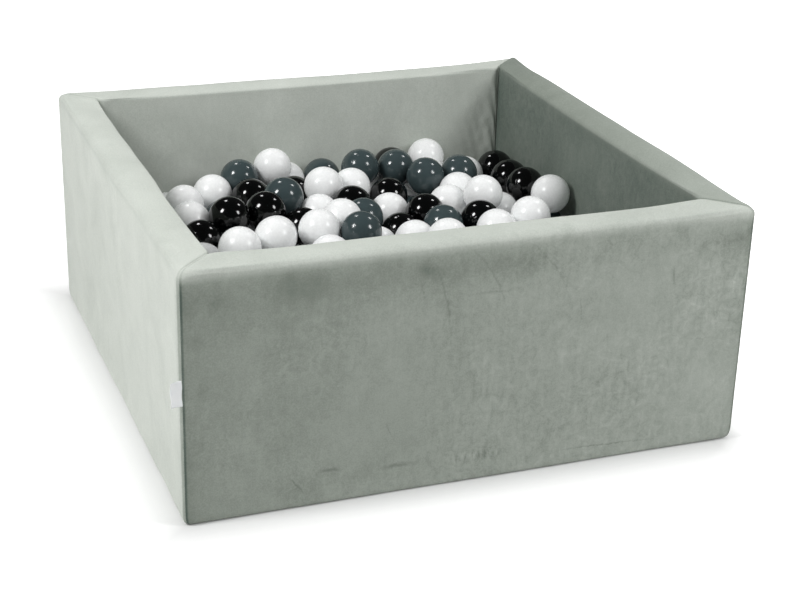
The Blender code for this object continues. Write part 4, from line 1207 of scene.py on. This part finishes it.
deep = np.vstack(rows[:-1])
print(len(third), "balls fill the third layer,", len(deep), "lie below it")

# %% [markdown]
# The colours of the loose balls come with their names. For the others that the photograph
# shows, a small table says what lies where, as shares of the room for a ball's middle.
# Whatever is hidden takes its turn in the mix: two white, one grey, one black.

# %% Colours of the balls in the bed
SEEN_SHARES = (
    ("black", 0.45, 1.00, 2.1), ("white", -0.15, 1.00, 2.0), ("white", 0.65, 1.00, 2.3),
    ("grey", 0.05, 1.00, 2.0), ("white", 0.25, 0.90, 1.9), ("white", -0.25, 0.90, 2.6),
    ("grey", -0.45, 0.85, 2.4), ("black", 1.00, 0.85, 2.0), ("grey", 0.40, 0.80, 2.4),
    ("white", 0.80, 0.80, 2.0), ("grey", 0.20, 0.80, 2.5), ("white", -0.60, 0.75, 2.3),
    ("black", -0.20, 0.65, 2.2), ("grey", 0.70, 0.65, 2.4), ("black", -0.45, 0.65, 2.3),
    ("white", -0.80, 0.60, 2.3), ("grey", 0.50, 0.60, 2.4), ("white", 0.10, 0.60, 2.3),
    ("black", 0.95, 0.55, 2.3), ("black", 0.25, 0.55, 2.1), ("white", -0.10, 0.55, 2.6),
    ("white", 0.60, 0.45, 2.2), ("black", 0.95, 0.35, 2.4), ("black", 0.00, 0.35, 2.3),
    ("white", 0.20, 0.35, 2.1), ("grey", -0.35, 0.35, 2.8), ("white", -0.20, 0.30, 2.3),
    ("white", 0.50, 0.30, 2.2), ("white", -0.60, 0.30, 2.1), ("white", 0.75, 0.25, 2.0),
    ("white", -0.85, 0.25, 2.5), ("black", 0.35, 0.20, 2.2), ("black", -0.50, 0.20, 2.7),
    ("white", 0.65, 0.20, 2.5), ("grey", 0.00, 0.15, 2.3), ("white", 1.00, 0.15, 2.5),
    ("black", -0.70, 0.15, 2.7), ("black", 0.15, 0.10, 2.0), ("black", -0.85, 0.05, 2.4),
    ("white", -0.15, 0.05, 2.6), ("grey", 0.80, 0.00, 2.0), ("black", 0.55, 0.00, 2.3),
    ("white", -0.50, 0.00, 2.4), ("grey", 0.35, 0.00, 2.3), ("white", -0.30, -0.10, 2.7),
    ("white", 0.15, -0.15, 2.2), ("white", 0.75, -0.15, 2.5), ("white", -0.90, -0.15, 2.2),
    ("grey", -0.15, -0.15, 2.6), ("white", -0.55, -0.15, 3.0), ("white", 0.55, -0.20, 2.4),
    ("white", -0.75, -0.25, 2.7), ("white", 0.25, -0.30, 2.5), ("black", 0.85, -0.35, 2.4),
)
CYCLE = ("white", "grey", "white", "black")
HIGHEST = np.array([ROOM_HALF, ROOM_HALF, FIRST_LAYER])


def in_turn(places):
    """The mix of colours, one for each place."""
    return [CYCLE[turn % len(CYCLE)] for turn in range(len(places))]


def colours_of(places):
    """The colour of each ball: that of the seen one at its place, or the next in turn."""
    shades = in_turn(places)
    for shade, across, back, height in SEEN_SHARES:
        wanted = HIGHEST * (across, back, 1) + (0, 0, 2 * BALL_RADIUS * height)
        off = np.linalg.norm(np.array(places) - wanted, axis=1)
        if off.min() < SAME_BALL * BALL_SPACING:
            shades[off.argmin()] = shade
    return shades


standing = [list(place) for place in [*loose.values(), *bed]]
shades = colours_of(standing)[len(loose):]
print({shade: shades.count(shade) for shade in sorted(set(shades))})

# %% Make the balls
def turned_frame(seed):
    """A ball's own frame, turned at random."""
    chance = np.random.default_rng(seed)
    axis = Vector(chance.normal(size=3)).normalized()
    return Matrix.Rotation(chance.uniform(0, 2 * math.pi), 3, axis)


def ball_form(subdivisions):
    """Points and faces of a round ball about the origin."""
    form = bmesh.new()
    bmesh.ops.create_icosphere(form, subdivisions=subdivisions, radius=BALL_RADIUS)
    verts = np.array([list(vert.co) for vert in form.verts])
    faces = np.array([[vert.index for vert in face.verts] for face in form.faces])
    form.free()
    return verts, faces


def ball_mesh(name, places, subdivisions, shade):
    """One mesh of several balls, each point knowing its place in its own ball's frame."""
    verts, faces = ball_form(subdivisions)
    points = np.vstack([verts + np.array(list(place)) for place in places])
    own = np.vstack([
        verts @ np.array(turned_frame(int(1e5 * abs(place[0] + 2 * place[1])))) / BALL_RADIUS
        for place in places
    ])
    mesh = bpy.data.meshes.new(name)
    loops = np.vstack([faces + k * len(verts) for k in range(len(places))])
    mesh.from_pydata(points.tolist(), [], loops.tolist())
    places_in_ball = mesh.attributes.new("ball_place", "FLOAT_VECTOR", "POINT").data
    places_in_ball.foreach_set("vector", own.ravel())
    mesh.materials.append(plastics[shade])
    return mesh


for name, place in loose.items():
    shade = name.split("_")[1]
    mesh = ball_mesh("loose_" + name, [place], SUBDIVISIONS["loose"], shade)
    add_piece(mesh, name, "ball_" + shade, name)

groups = {}
for layer, places, mix in (
    ("bed", bed, shades), ("bed", third, in_turn(third)), ("deep", deep, in_turn(deep)),
):
    for place, shade in zip(places, mix):
        groups.setdefault((layer, shade), []).append(place)
for (layer, shade), places in groups.items():
    mesh = ball_mesh(f"balls_{layer}_{shade}", places, SUBDIVISIONS[layer], shade)
    add_piece(mesh, "pit", "ball_" + shade, "ball_bed")
print("balls made:", len(loose) + sum(len(places) for places in groups.values()))
